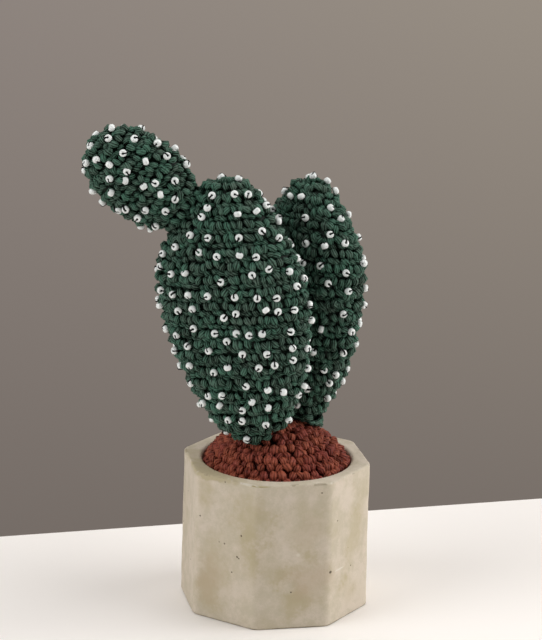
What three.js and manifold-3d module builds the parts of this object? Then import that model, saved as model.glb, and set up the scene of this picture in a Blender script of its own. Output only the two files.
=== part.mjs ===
// A bunny ears cactus, crocheted in green cotton and sewn all over with white seed beads, which stands on a
// crocheted mound of brown soil in an eight-sided pot of cast concrete.
// Lengths are in millimetres and +Z is up. The origin is the middle of the pot's underside, and two of the
// pot's flats face along Y. The pads turn their faces to the -Y side, and the small one leans out to -X.
import * as THREE from "three";
import { mergeVertices } from "three/addons/utils/BufferGeometryUtils.js";
import Module from "manifold-3d";

const wasm = await Module();
wasm.setup();

// Pieces that touch keep this much air between them.
const SEAT_GAP = 0.3;

// The pot: eight flat sides outside, a round bore inside.
const POT_ACROSS_CORNERS = 70;
const POT_HEIGHT = 55.1;
const POT_EDGE = 0.8;
const POT_FLOOR = 8;
const BORE_RADIUS = 28;
const BORE_EDGE = 1.4;
const BORE_SIDES = 48;

// The soil: a stuffed round of crochet that fills the bore and domes up out of it.
const SOIL_TOP = 69;
const SOIL_BELOW_RIM = 3;
const SOIL_STITCHES = 11;
const SOIL_ROUNDS = 5;
const SOIL_RELIEF = 1.3;

// The outline of a large pad, as half its width and the height above its base, and its half thickness.
const PAD_OUTLINE = [
  [0, 0],
  [6.2, 1.2],
  [9.4, 4.4],
  [14.6, 12.2],
  [20.6, 24.2],
  [24.6, 38.2],
  [25.9, 54.2],
  [24.9, 66.2],
  [20, 77.7],
  [13.6, 87.2],
  [7, 95.6],
  [0, 98],
];
const PAD_HALF_THICKNESS = 13;

// The outline of the small pad, written the same way.
const SMALL_OUTLINE = [
  [0, 0],
  [7.6, 3.4],
  [12.2, 10.5],
  [14.6, 20],
  [14.2, 29],
  [11.2, 38],
  [6.2, 43.2],
  [0, 45],
];
const SMALL_HALF_THICKNESS = 9;

// A pad grows rounder in section towards its narrow ends: thickness follows width to this power.
const THICKNESS_POWER = 0.8;

// Stitches stand this high out of the pads' skin.
const PAD_RELIEF = 1.4;

// The narrowest section at a pad's ends, and the share of its length over which its slope is measured.
const THIN = 0.001;
const NEARBY = 0.002;

// Vertices across one stitch and down one round, and half the width of a stitch's leg in stitches.
const STEPS_ACROSS = 4;
const STEPS_DOWN = 3;
const LEG_HALF_WIDTH = 0.22;

// A seed bead, its sides as a solid, how deep it sits in the yarn and at what share of a stitch's height.
const BEAD_RADIUS = 1.55;
const BEAD_HALF_LENGTH = 1.05;
const BEAD_SIDES = 6;
const BEAD_SUNK = 0.6;
const BEAD_SEAT = 0.3;
const BEAD_SEED = 41;
const BEAD_CLEARANCE = 3.4;
const GOLDEN_SHARE = (Math.sqrt(5) - 1) / 2;

// Where each pad stands: its base and tip, the turn of its face about the vertical from -Y towards +X in
// degrees, its size against the outline, how far its upper part bows sideways, its stitches in a round, its
// rounds and its beads.
const PADS = {
  pad_front: {
    outline: PAD_OUTLINE,
    halfThickness: PAD_HALF_THICKNESS,
    base: [-11.9, -11.8, 64.4],
    tip: [-20.4, -8.0, 162.1],
    faceTurn: -23,
    scale: 1,
    bow: -3.4,
    stitches: 13,
    rounds: 13,
    beads: 42,
  },
  pad_back: {
    outline: PAD_OUTLINE,
    halfThickness: PAD_HALF_THICKNESS,
    base: [10.6, 6.4, 63.2],
    tip: [11.7, 9.4, 156.4],
    faceTurn: -54,
    scale: 0.96,
    bow: 0,
    stitches: 12,
    rounds: 12,
    beads: 38,
  },
  pad_small: {
    outline: SMALL_OUTLINE,
    halfThickness: SMALL_HALF_THICKNESS,
    base: [-32.9, -3.4, 147.4],
    tip: [-68.0, 4.6, 174.0],
    faceTurn: -16,
    scale: 1,
    bow: 0,
    stitches: 9,
    rounds: 6,
    beads: 22,
  },
};

const green = { color: 0x37473d, roughness: 0.85, metalness: 0 };
const FINISHES = {
  pot: { color: 0xb5aa93, roughness: 0.9, metalness: 0 },
  soil: { color: 0x6e3023, roughness: 0.9, metalness: 0 },
  pad_front: green,
  pad_back: green,
  pad_small: green,
};

// A repeatable stream of numbers from 0 to 1.
function seededDraws(seed) {
  let state = seed >>> 0;
  return () => {
    state = (state + 0x6d2b79f5) >>> 0;
    let t = Math.imul(state ^ (state >>> 15), 1 | state);
    t = (t + Math.imul(t ^ (t >>> 7), 61 | t)) ^ t;
    return ((t ^ (t >>> 14)) >>> 0) / 4294967296;
  };
}

// A closed BufferGeometry as a solid that can be joined and cut.
function solidOf(geometry) {
  const bare = new THREE.BufferGeometry();
  bare.setAttribute("position", geometry.getAttribute("position"));
  bare.setIndex(geometry.index);
  const merged = mergeVertices(bare);
  return new wasm.Manifold(
    new wasm.Mesh({
      numProp: 3,
      vertProperties: merged.attributes.position.array,
      triVerts: new Uint32Array(merged.index.array),
    }),
  );
}

// A solid back as a BufferGeometry.
function geometryOf(solid) {
  const mesh = solid.getMesh();
  const geometry = new THREE.BufferGeometry();
  geometry.setAttribute("position", new THREE.BufferAttribute(mesh.vertProperties, 3));
  geometry.setIndex(new THREE.BufferAttribute(mesh.triVerts, 1));
  geometry.computeVertexNormals();
  return geometry;
}

// The middle of a ring of points.
function ringMiddle(ring) {
  return ring.reduce((sum, point) => sum.add(point), new THREE.Vector3()).divideScalar(ring.length);
}

// A closed skin over rings of points, from the first pole round by round to the last pole. Each four-sided
// patch is split along its prouder diagonal, so that what stands out of the skin keeps its crest.
function skinOver(firstPole, rings, lastPole) {
  const count = rings[0].length;
  const points = [firstPole, ...rings.flat(), lastPole];
  const last = points.length - 1;
  const middles = rings.map(ringMiddle);
  const faces = [];
  const at = (ring, i) => 1 + ring * count + (i % count);
  for (let i = 0; i < count; i++) {
    faces.push(0, at(0, i + 1), at(0, i));
    faces.push(last, at(rings.length - 1, i), at(rings.length - 1, i + 1));
    for (let ring = 0; ring < rings.length - 1; ring++) {
      const [a, b, c, d] = [at(ring, i), at(ring, i + 1), at(ring + 1, i + 1), at(ring + 1, i)];
      const twiceMiddle = middles[ring].clone().add(middles[ring + 1]);
      const reachAC = points[a].clone().add(points[c]).distanceTo(twiceMiddle);
      const reachBD = points[b].clone().add(points[d]).distanceTo(twiceMiddle);
      if (reachAC > reachBD) faces.push(a, b, c, a, c, d);
      else faces.push(a, b, d, b, c, d);
    }
  }
  return new THREE.BufferGeometry().setFromPoints(points).setIndex(faces);
}

// How far a stitch stands out at a step round and a step down, from 0 to 1. It is worked from the top of the
// piece down: two plump legs meet at its upper end and part towards its lower end. Each round is set half a
// stitch off the one above it.
function stitchHeight(stepRound, stepDown) {
  const down = (stepDown % STEPS_DOWN) / STEPS_DOWN;
  const setOff = (Math.floor(stepDown / STEPS_DOWN) % 2) * 0.5;
  const across = (stepRound / STEPS_ACROSS + setOff) % 1;
  const legMiddle = 0.1 + 0.18 * down;
  const offLeg = (Math.abs(across - 0.5) - legMiddle) / LEG_HALF_WIDTH;
  return Math.max(0, 1 - offLeg * offLeg) * Math.sin(Math.PI * down);
}

// One station of a pad's outline, at a share of the way to the tip: half width, half thickness, height and
// the sideways shift of its middle.
function padSection(pad, along) {
  const point = pad.curve.getPointAt(THREE.MathUtils.clamp(along, 0, 1));
  const width = Math.max(THIN, point.x);
  const thickness = pad.scale * pad.halfThickness * (width / pad.halfWidth) ** THICKNESS_POWER;
  const shift = pad.bow * Math.sin(Math.PI * (point.y / pad.length) ** 2);
  return { width, thickness, height: point.y, shift };
}

// The point of a pad's skin at shares of the way round and along, lifted out of it, and the way out there.
function padPoint(pad, around, along, lift) {
  const here = padSection(pad, along);
  const below = padSection(pad, along - NEARBY);
  const above = padSection(pad, along + NEARBY);
  const flat = new THREE.EllipseCurve(0, 0, here.width, here.thickness).getPointAt(around % 1);
  const c = flat.x / here.width;
  const s = flat.y / here.thickness;
  const rise = above.height - below.height;
  const flare = s * s * here.width * (above.thickness - below.thickness);
  const widen = c * c * here.thickness * (above.width - below.width);
  const outward = new THREE.Vector3(here.thickness * c * rise, here.width * s * rise, -(flare + widen));
  outward.normalize();
  const position = new THREE.Vector3(flat.x + here.shift, flat.y, here.height).addScaledVector(outward, lift);
  return { position, outward };
}

// A pad's skin in its own frame: local Z runs from base to tip, X across its face, -Y out of its face.
// Without stitches it is the smooth form, pushed out by the given lift.
function padSkin(pad, stitched, lift = 0) {
  const across = pad.stitches * STEPS_ACROSS;
  const down = pad.rounds * STEPS_DOWN;
  const rings = [];
  for (let j = 1; j < down; j++) {
    const along = j / down;
    const fade = Math.min(1, padSection(pad, along).width / (0.5 * pad.halfWidth));
    const ring = [];
    for (let i = 0; i < across; i++) {
      const raised = stitched ? PAD_RELIEF * fade * stitchHeight(i, down - j) : lift;
      ring.push(padPoint(pad, i / across, along, raised).position);
    }
    rings.push(ring);
  }
  const push = stitched ? 0 : lift;
  return skinOver(new THREE.Vector3(0, 0, -push), rings, new THREE.Vector3(0, 0, pad.length + push));
}

// The matrix that stands a pad up at its place.
function padPlace(pad) {
  const base = new THREE.Vector3(...pad.base);
  const up = new THREE.Vector3(...pad.tip).sub(base).normalize();
  const turn = THREE.MathUtils.degToRad(pad.faceTurn);
  const back = new THREE.Vector3(-Math.sin(turn), Math.cos(turn), 0);
  back.addScaledVector(up, -back.dot(up)).normalize();
  const right = new THREE.Vector3().crossVectors(back, up);
  return new THREE.Matrix4().makeBasis(right, back, up).setPosition(base);
}

// Whether a point, in the part's frame, lies within a clearance of another pad.
function isNearPad(point, pad, clearance) {
  const local = point.clone().applyMatrix4(pad.place.clone().invert());
  if (local.z < -clearance || local.z > pad.length + clearance) return false;
  const section = padSection(pad, THREE.MathUtils.clamp(local.z / pad.length, 0.02, 0.98));
  const x = (local.x - section.shift) / (section.width + clearance);
  const y = local.y / (section.thickness + clearance);
  return Math.hypot(x, y) < 1;
}

// The dome of the soil as part of a sphere: its radius, and the height of its middle.
const boreFit = BORE_RADIUS - SEAT_GAP;
const domeEdge = POT_HEIGHT - SOIL_BELOW_RIM;
const domeRise = SOIL_TOP - domeEdge;
const domeRadius = (boreFit ** 2 + domeRise ** 2) / (2 * domeRise);
const domeMiddle = SOIL_TOP - domeRadius;
const domeAngle = Math.asin(boreFit / domeRadius);

// One bead, its hole closed and its axis along Y.
function beadSolid(centre, axis) {
  const shoulder = 0.78 * BEAD_RADIUS;
  const profile = [
    [0, -BEAD_HALF_LENGTH],
    [shoulder, -BEAD_HALF_LENGTH],
    [BEAD_RADIUS, 0],
    [shoulder, BEAD_HALF_LENGTH],
    [0, BEAD_HALF_LENGTH],
  ].map(([r, y]) => new THREE.Vector2(r, y));
  const turn = new THREE.Quaternion().setFromUnitVectors(new THREE.Vector3(0, 1, 0), axis);
  const bead = new THREE.LatheGeometry(profile, BEAD_SIDES);
  bead.applyQuaternion(turn).translate(centre.x, centre.y, centre.z);
  return solidOf(bead);
}

// The beads of a pad, spread evenly over its area on a golden-angle spiral with a little scatter. None is
// sewn where the pad meets its neighbours or the soil. About half lie flat and the others stand on edge.
function padBeads(pad, neighbours, seed) {
  const draw = seededDraws(seed);
  const stations = 200;
  const shares = [0];
  for (let k = 0; k < stations; k++) {
    const section = padSection(pad, (k + 0.5) / stations);
    shares.push(shares[k] + section.width + section.thickness);
  }
  const beads = [];
  for (let i = 0; i < pad.beads; i++) {
    const wanted = ((i + 0.2 + 0.6 * draw()) / pad.beads) * shares[stations];
    const along = shares.findIndex((share) => share > wanted) / stations;
    const around = i * GOLDEN_SHARE + 0.06 * draw();
    const seat = padPoint(pad, around, along, BEAD_SEAT * PAD_RELIEF);
    const tilt = draw() < 0.55 ? 0.5 * draw() : Math.PI / 2 - 0.3 * draw();
    const heading = 2 * Math.PI * draw();
    const sideways = new THREE.Vector3(0, 0, 1).cross(seat.outward).normalize();
    sideways.applyAxisAngle(seat.outward, heading);
    const axis = seat.outward.clone().multiplyScalar(Math.cos(tilt)).addScaledVector(sideways, Math.sin(tilt));
    const reach = tilt < 1 ? BEAD_HALF_LENGTH : BEAD_RADIUS;
    const centre = seat.position.clone().addScaledVector(seat.outward, reach - BEAD_SUNK);
    const world = centre.clone().applyMatrix4(pad.place);
    const overSoil = Math.hypot(world.x, world.y, world.z - domeMiddle) - domeRadius;
    if (overSoil < BEAD_CLEARANCE + 1) continue;
    if (neighbours.some((other) => isNearPad(world, other, BEAD_CLEARANCE))) continue;
    beads.push(beadSolid(centre, axis));
  }
  return beads;
}

// The pot: an eight-sided block with soft edges, bored out from above.
function potGeometry() {
  const radius = POT_ACROSS_CORNERS / 2;
  const outside = new THREE.LatheGeometry(
    [
      [0, 0],
      [radius - POT_EDGE, 0],
      [radius, POT_EDGE],
      [radius, POT_HEIGHT - POT_EDGE],
      [radius - POT_EDGE, POT_HEIGHT],
      [0, POT_HEIGHT],
    ].map(([r, y]) => new THREE.Vector2(r, y)),
    8,
    Math.PI / 8,
  );
  const bore = new THREE.LatheGeometry(
    [
      [0, POT_FLOOR],
      [BORE_RADIUS, POT_FLOOR],
      [BORE_RADIUS, POT_HEIGHT - BORE_EDGE],
      [BORE_RADIUS + 0.3 * BORE_EDGE, POT_HEIGHT - 0.3 * BORE_EDGE],
      [BORE_RADIUS + BORE_EDGE, POT_HEIGHT],
      [BORE_RADIUS + BORE_EDGE, POT_HEIGHT + 1],
      [0, POT_HEIGHT + 1],
    ].map(([r, y]) => new THREE.Vector2(r, y)),
    BORE_SIDES,
  );
  outside.rotateX(Math.PI / 2);
  bore.rotateX(Math.PI / 2);
  return geometryOf(solidOf(outside).subtract(solidOf(bore)));
}

// The soil: stitched over its dome, which is smooth where it meets the bore, and plain below.
function soilGeometry() {
  const across = SOIL_STITCHES * STEPS_ACROSS;
  const down = SOIL_ROUNDS * STEPS_DOWN;
  const rings = [];
  for (let j = 1; j <= down; j++) {
    const slope = (domeAngle * j) / down;
    const fade = Math.min(1, (4 * j) / down) * Math.min(1, (4 * (down - j)) / down);
    const ring = [];
    for (let i = 0; i < across; i++) {
      const reach = domeRadius + SOIL_RELIEF * fade * stitchHeight(i, j);
      const angle = (2 * Math.PI * i) / across;
      const out = reach * Math.sin(slope);
      const height = domeMiddle + reach * Math.cos(slope);
      ring.push(new THREE.Vector3(out * Math.cos(angle), out * Math.sin(angle), height));
    }
    rings.unshift(ring);
  }
  const foot = rings[0].map((point) => new THREE.Vector3(point.x, point.y, POT_FLOOR + SEAT_GAP));
  rings.unshift(foot);
  const footMiddle = new THREE.Vector3(0, 0, POT_FLOOR + SEAT_GAP);
  return skinOver(footMiddle, rings, new THREE.Vector3(0, 0, SOIL_TOP));
}

// The dome pushed out past its stitches, as a ball that the pads' feet are cut to.
function soilSeat() {
  const reach = domeRadius + SOIL_RELIEF + SEAT_GAP;
  return new THREE.SphereGeometry(reach, 48, 32).rotateX(Math.PI / 2).translate(0, 0, domeMiddle);
}

// A pad: its stitched skin with beads sewn on, cut to what it stands on.
function padGeometry(pad, neighbours, seats, seed) {
  const toPad = pad.place.clone().invert();
  let solid = solidOf(padSkin(pad, true));
  for (const bead of padBeads(pad, neighbours, seed)) solid = solid.add(bead);
  for (const seat of seats) solid = solid.subtract(solidOf(seat.clone().applyMatrix4(toPad)));
  return geometryOf(solid);
}

for (const pad of Object.values(PADS)) {
  const points = pad.outline.map(([w, h]) => new THREE.Vector2(w, h).multiplyScalar(pad.scale));
  pad.curve = new THREE.SplineCurve(points);
  pad.halfWidth = Math.max(...points.map((point) => point.x));
  pad.length = points.at(-1).y;
  pad.place = padPlace(pad);
}

const cactus = new THREE.Group();

// Adds one named piece, with its finish, at its place.
function addPiece(name, geometry, place) {
  const mesh = new THREE.Mesh(geometry, new THREE.MeshStandardMaterial(FINISHES[name]));
  mesh.name = name;
  if (place) mesh.applyMatrix4(place);
  cactus.add(mesh);
}

const { pad_front: front, pad_back: back, pad_small: small } = PADS;
const frontSeat = padSkin(front, false, PAD_RELIEF + SEAT_GAP).applyMatrix4(front.place);

addPiece("pot", potGeometry());
addPiece("soil", soilGeometry());
addPiece("pad_front", padGeometry(front, [back, small], [soilSeat()], BEAD_SEED), front.place);
addPiece("pad_back", padGeometry(back, [front], [soilSeat()], BEAD_SEED + 1), back.place);
addPiece("pad_small", padGeometry(small, [front], [frontSeat], BEAD_SEED + 2), small.place);

export default cactus;
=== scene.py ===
# %% [markdown]
# # A crocheted bunny ears cactus in a concrete pot
#
# The real object is a soft ornament. Three flat pads are crocheted from dark green cotton, stuffed, and
# sewn all over with white glass beads. They stand on a crocheted brown mound, packed into a small
# eight-sided pot of cast concrete. Crochet isn't a printed pattern: it is one thick yarn, laid in rounds
# of small plump loops. So this lesson models one leg of a stitch, as a short piece of plied yarn, and
# lays a copy of it for every leg of every stitch on the stuffed form below. The lengths in the script are
# in metres, as in the frame, and MM turns a size that a maker would measure in millimetres into metres.

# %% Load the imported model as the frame
import math

import bpy
import numpy as np
from mathutils import Matrix, Vector
from mathutils.kdtree import KDTree


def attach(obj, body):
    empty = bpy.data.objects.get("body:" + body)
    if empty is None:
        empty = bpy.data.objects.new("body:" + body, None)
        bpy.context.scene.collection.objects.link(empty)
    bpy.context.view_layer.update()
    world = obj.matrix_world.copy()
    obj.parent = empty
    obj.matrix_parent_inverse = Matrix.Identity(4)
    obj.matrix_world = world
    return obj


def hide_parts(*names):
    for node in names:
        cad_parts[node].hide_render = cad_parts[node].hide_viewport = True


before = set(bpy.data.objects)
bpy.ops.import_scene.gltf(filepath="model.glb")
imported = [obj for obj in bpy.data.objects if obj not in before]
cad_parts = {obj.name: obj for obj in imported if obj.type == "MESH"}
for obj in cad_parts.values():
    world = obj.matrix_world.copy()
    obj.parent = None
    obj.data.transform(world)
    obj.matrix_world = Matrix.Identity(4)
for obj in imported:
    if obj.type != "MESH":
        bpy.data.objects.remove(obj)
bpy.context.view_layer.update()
MM = 0.001

# %% [markdown]
# ## The camera
#
# The photo looks down at the pot at about 16 degrees, from a metre away, through a long lens. The place
# and the turns below were worked out from the corners of the pot in the photo. The camera is also tipped
# sideways by a degree and a half, because the table's edge and the pot's upright edges lean a little in
# the picture.

# %% Put the camera where the photo was taken from
CAMERA_PLACE = (-0.20705, -0.96616, 0.39442)
CAMERA_HEADING = math.radians(-11.903)
CAMERA_DOWN = math.radians(16.207)
CAMERA_ROLL = math.radians(1.431)
CAMERA_LENS = 159.2
SENSOR_WIDTH = 36
PART_MIDDLE = (0, 0, 90 * MM)

bpy.ops.object.select_all(action="DESELECT")
look = Matrix.Rotation(CAMERA_HEADING, 3, "Z") @ Matrix.Rotation(math.pi / 2 - CAMERA_DOWN, 3, "X")
look = look @ Matrix.Rotation(CAMERA_ROLL, 3, "Z")
bpy.ops.object.camera_add(location=CAMERA_PLACE, rotation=look.to_euler())
camera = bpy.context.object
camera.name = "camera"
camera.data.lens = CAMERA_LENS
camera.data.sensor_width = SENSOR_WIDTH
bpy.context.scene.camera = camera
bpy.context.scene.view_settings.view_transform = "Standard"
print("camera", round((camera.location - Vector(PART_MIDDLE)).length, 3), "m from the part's middle")

# %% [markdown]
# ## Helpers for modelling
#
# Every piece starts as a primitive and is shaped with the operators that a person would use in the
# window. An operator acts on all that is selected, so each new piece is started with nothing selected.
# Most pieces here are grown as a stack of rings: the top ring stays selected after an extrusion, so the
# next move, resize or turn acts on that ring alone.

# %% Start a piece and finish it
SAME_PLACE = 0.01 * MM
TINY = 1e-12


def start_clean():
    """Leave edit mode and deselect everything, so that the next operator acts on its own piece only."""
    if bpy.context.object and bpy.context.object.mode != "OBJECT":
        bpy.ops.object.mode_set(mode="OBJECT")
    bpy.ops.object.select_all(action="DESELECT")


def start_ring(name, sides, radius, height):
    """A new piece that is one open ring of edges, in edit mode with the ring selected."""
    start_clean()
    bpy.ops.mesh.primitive_circle_add(vertices=sides, radius=radius, location=(0, 0, height))
    piece = bpy.context.object
    piece.name = name
    bpy.ops.object.transform_apply(location=True, rotation=True, scale=True)
    bpy.ops.object.mode_set(mode="EDIT")
    bpy.ops.mesh.select_all(action="SELECT")
    return piece


def grow_ring(move):
    """Extrude the selected ring by a move."""
    bpy.ops.mesh.extrude_region_move(TRANSFORM_OT_translate={"value": move})


def grow_sections(middles, sizes, turn=0.0):
    """Grow the selected ring from the first section through the others: middles, and sizes in X and Y."""
    for k in range(1, len(middles)):
        grow_ring([after - before for before, after in zip(middles[k - 1], middles[k])])
        wider, deeper = [after / before for before, after in zip(sizes[k - 1], sizes[k])]
        bpy.ops.transform.resize(value=(wider, deeper, 1), center_override=middles[k])
        if turn:
            bpy.ops.transform.rotate(value=turn, orient_axis="Z", center_override=middles[k])


def close_ring(move):
    """Extrude the selected ring by a move and draw it together into a point."""
    grow_ring(move)
    bpy.ops.mesh.merge(type="CENTER")


def select_points(piece, wanted):
    """Select the points of a piece whose place passes a test, in edit mode."""
    bpy.ops.mesh.select_all(action="DESELECT")
    bpy.ops.object.mode_set(mode="OBJECT")
    for point in piece.data.vertices:
        point.select = bool(wanted(point.co))
    bpy.ops.object.mode_set(mode="EDIT")
    bpy.ops.mesh.select_mode(type="VERT")


def finish_piece(piece):
    """Make the faces point outwards, leave edit mode and shade the piece smoothly."""
    bpy.ops.mesh.select_all(action="SELECT")
    bpy.ops.mesh.normals_make_consistent(inside=False)
    bpy.ops.object.mode_set(mode="OBJECT")
    bpy.ops.object.shade_smooth()
    return piece


def points_of(piece):
    """The points of a piece as an array of places."""
    places = np.zeros(len(piece.data.vertices) * 3)
    piece.data.vertices.foreach_get("co", places)
    return places.reshape(-1, 3)


def fix_order(piece):
    """Lay the same faces in one fixed order. Extrude leaves their order to chance."""
    faces = []
    for face in piece.data.polygons:
        corners = list(face.vertices)
        first = corners.index(min(corners))
        faces.append(corners[first:] + corners[:first])
    places = points_of(piece)
    piece.data.clear_geometry()
    piece.data.from_pydata(places, [], sorted(faces), shade_flat=False)


def shares_round(face, around, on_axis):
    """A face's shares of the way round, without a jump from 1 to 0. A corner on the axis gets the middle."""
    turns = np.array([np.nan if on_axis[i] else around[i] for i in face])
    if np.nanmax(turns) - np.nanmin(turns) > 0.5:
        turns[turns < 0.5] += 1
    return np.where(np.isnan(turns), np.nanmean(turns), turns)


# %% [markdown]
# ## One leg of a stitch
#
# A stitch of single crochet shows as two plump legs that meet at the top and part below. Each leg is a
# short length of cotton yarn, five plies twisted together, thick in the middle and drawn thin where it
# dives into the fabric. It could be a curve with a round bevel, but then the plies would be only painted
# on. Here a ten-sided ring is grown upwards instead. Every second point is pulled in, which makes five
# lobes, and each new ring is turned a little, which twists them. The leg is made straight, and bent when
# it is laid.

# %% Model the leg
PLIES = 5
LEG_SIDES = 2 * PLIES
PLY_GROOVE = 0.87
LEG_RADIUS = 1.19 * MM
LEG_SHAPE = (0.55, 0.94, 1.06, 0.94, 0.55)
LEG_TURN = math.radians(12)
LEG_END = 0.35 * MM
RING_STEP = 0.7 * MM


def model_leg():
    """A straight leg of plied yarn along Z, with a ring every RING_STEP and closed at both ends."""
    leg = start_ring("leg", LEG_SIDES, LEG_RADIUS * LEG_SHAPE[0], 0)
    select_points(leg, lambda place: round(LEG_SIDES * math.atan2(place.y, place.x) / math.tau) % 2 == 0)
    bpy.ops.transform.resize(value=(PLY_GROOVE, PLY_GROOVE, 1), center_override=(0, 0, 0))
    bpy.ops.mesh.select_all(action="SELECT")
    middles = [(0, 0, k * RING_STEP) for k in range(len(LEG_SHAPE))]
    grow_sections(middles, [(size, size) for size in LEG_SHAPE], LEG_TURN)
    close_ring((0, 0, LEG_END))
    select_points(leg, lambda place: abs(place.z) < SAME_PLACE)
    close_ring((0, 0, -LEG_END))
    return finish_piece(leg)


leg = model_leg()
print("leg:", len(leg.data.vertices), "points,", len(leg.data.polygons), "faces")

# %% [markdown]
# The copies are laid by moving the leg's points, so its points are kept as numbers: which ring each lies
# on, and how far it is from the leg's middle line. Each face corner also gets its place along and round
# the yarn. That makes a UV map, on which the yarn material later draws the twist of its fibres.

# %% Take the leg's measurements
class YarnLeg:
    """The leg's points and faces, as arrays that a copy is made from."""

    def __init__(self, piece):
        places = points_of(piece)
        self.station = np.clip(places[:, 2] / RING_STEP, -LEG_END / RING_STEP, None)
        self.offset = places[:, :2]
        self.faces = [tuple(face.vertices) for face in piece.data.polygons]
        self.corners = np.concatenate(self.faces)
        self.sizes = np.array([len(face) for face in self.faces])
        self.count = len(places)
        self.rings = len(LEG_SHAPE)
        self.uv = self.unwrap(places)

    def unwrap(self, places):
        """The place of each face corner along (0 to 1) and round (0 to 1) the leg."""
        twist = LEG_TURN * places[:, 2] / RING_STEP
        along = places[:, 2] / (RING_STEP * (self.rings - 1))
        around = (np.arctan2(places[:, 1], places[:, 0]) - twist) / math.tau % 1
        on_axis = np.hypot(places[:, 0], places[:, 1]) < 0.01 * LEG_RADIUS
        turns = np.concatenate([shares_round(face, around, on_axis) for face in self.faces])
        return np.stack([along[self.corners], turns], axis=1)


yarn_leg = YarnLeg(leg)
bpy.data.objects.remove(leg)
print("leg corners:", len(yarn_leg.uv))

# %% [markdown]
# ## The stuffed forms
#
# Under the stitches each pad is a flat stuffed bag, oval in section and rounder towards its narrow ends.
# The bag is grown ring by ring along its outline. The outline is a list of half widths and heights, and a
# smooth curve is drawn through them, so that a few points are enough. The two large pads are narrow at
# the foot and widest a little above the middle, and the small pad is a plain oval. None of the large ones
# stands quite straight: the three bends say how far aside, in millimetres, the foot, the middle and the
# tip lie.

# %% Outlines of the pads
FRONT_OUTLINE = (
    (0, 2.6), (6.0, 4.0), (10.2, 7.2), (15.0, 13.6), (20.2, 24.2), (24.1, 38.2),
    (25.9, 54.2), (24.8, 66.2), (20.2, 77.7), (14.6, 87.4), (8.4, 95.0), (0, 98),
)
BACK_OUTLINE = (
    (0, 0), (6.2, 1.2), (9.2, 4.4), (13.4, 12.2), (19.0, 24.2), (23.2, 38.2),
    (25.3, 54.2), (25.2, 66.2), (20.8, 77.7), (14.2, 87.2), (7, 95.6), (0, 98),
)
SMALL_OUTLINE = (
    (0, 0), (7.0, 3.4), (11.4, 10.5), (14.2, 20), (14.2, 29), (11.2, 38), (6.2, 43.2), (0, 45),
)
THICKNESS_POWER = 0.8
BAG_SIDES = 64
CURVE_STEPS = 60


class PadForm:
    """Where a pad stands, as in the CAD model, and its sections at equal steps along its outline."""

    def __init__(self, outline, half_thickness, base, tip, face_turn, scale, bends, rings):
        points = np.array(outline) * scale * MM
        ends = np.vstack([points[0], points, points[-1]])
        t = np.linspace(0, 1, CURVE_STEPS, endpoint=False)[:, None]
        spans = []
        for before, start, end, after in zip(ends, ends[1:], ends[2:], ends[3:]):
            leave, arrive = (end - before) / 2, (after - start) / 2
            cube = (2 * start - 2 * end + leave + arrive) * t ** 3
            spans.append(cube + (3 * end - 3 * start - 2 * leave - arrive) * t ** 2 + leave * t + start)
        line = np.vstack(spans + [points[-1:]])
        run = np.concatenate([[0], np.cumsum(np.linalg.norm(np.diff(line, axis=0), axis=1))])
        steps = np.linspace(0, run[-1], rings + 1)[1:-1]
        self.width = np.interp(steps, run, line[:, 0])
        self.height = np.interp(steps, run, line[:, 1])
        self.start = points[0, 1]
        self.length = points[-1, 1]
        share = self.width / points[:, 0].max()
        self.thickness = half_thickness * scale * MM * share ** THICKNESS_POWER
        foot, bow, head = np.array(bends) * MM
        rise = self.height / self.length
        self.shift = foot * (1 - rise) ** 2 + bow * np.sin(math.pi * rise ** 2) + head * rise ** 4
        up = (Vector(tip) - Vector(base)).normalized()
        turn = math.radians(face_turn)
        back = Vector((-math.sin(turn), math.cos(turn), 0))
        back = (back - back.dot(up) * up).normalized()
        right = back.cross(up)
        self.place = Matrix((right, back, up)).transposed().to_4x4()
        self.place.translation = Vector(base) * MM


FORMS = {
    "pad_front": PadForm(
        FRONT_OUTLINE, half_thickness=13, base=(-11.9, -11.8, 64.4), tip=(-20.4, -8.0, 162.1), face_turn=-23,
        scale=1, bends=(0.8, -3.4, -2.2), rings=72,
    ),
    "pad_back": PadForm(
        BACK_OUTLINE, half_thickness=13, base=(10.6, 6.4, 63.2), tip=(11.7, 9.4, 156.4), face_turn=-54,
        scale=0.96, bends=(-2.4, 0, 1.2), rings=70,
    ),
    "pad_small": PadForm(
        SMALL_OUTLINE, half_thickness=9, base=(-32.9, -3.4, 147.4), tip=(-68.0, 4.6, 174.0), face_turn=-16,
        scale=1, bends=(0, 0, 0), rings=40,
    ),
}
for name, form in FORMS.items():
    width, length = round(2 * form.width.max() / MM, 1), round(form.length / MM, 1)
    print(name, "is", width, "mm wide and", length, "mm long")

# %% [markdown]
# Each bag is made a little too thin and then stuffed by a cloth simulation: the air pressure inside
# pushes the two faces out and evens their curves, as wadding does. The cloth is soft, because crochet
# gives, and may stretch by two parts in a hundred. A pad has to keep its size, so no point may move
# further than a small cap. A simulation adds up thousands of tiny forces, and their order changes the
# result a little. So the bag's faces are first laid in one fixed order, and the same script then gives
# the same bag each time.

# %% Grow the bags and stuff them
SLACK = 1.1 * MM
THINNEST = 0.6
CAP = 1.5 * MM
STUFFING_FRAMES = 20
CLOTH = {
    "mass": 0.05, "tension_stiffness": 2.5, "compression_stiffness": 2.5, "bending_stiffness": 0.05,
    "shrink_min": -0.02, "use_pressure": True, "uniform_pressure_force": 8,
}


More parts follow.
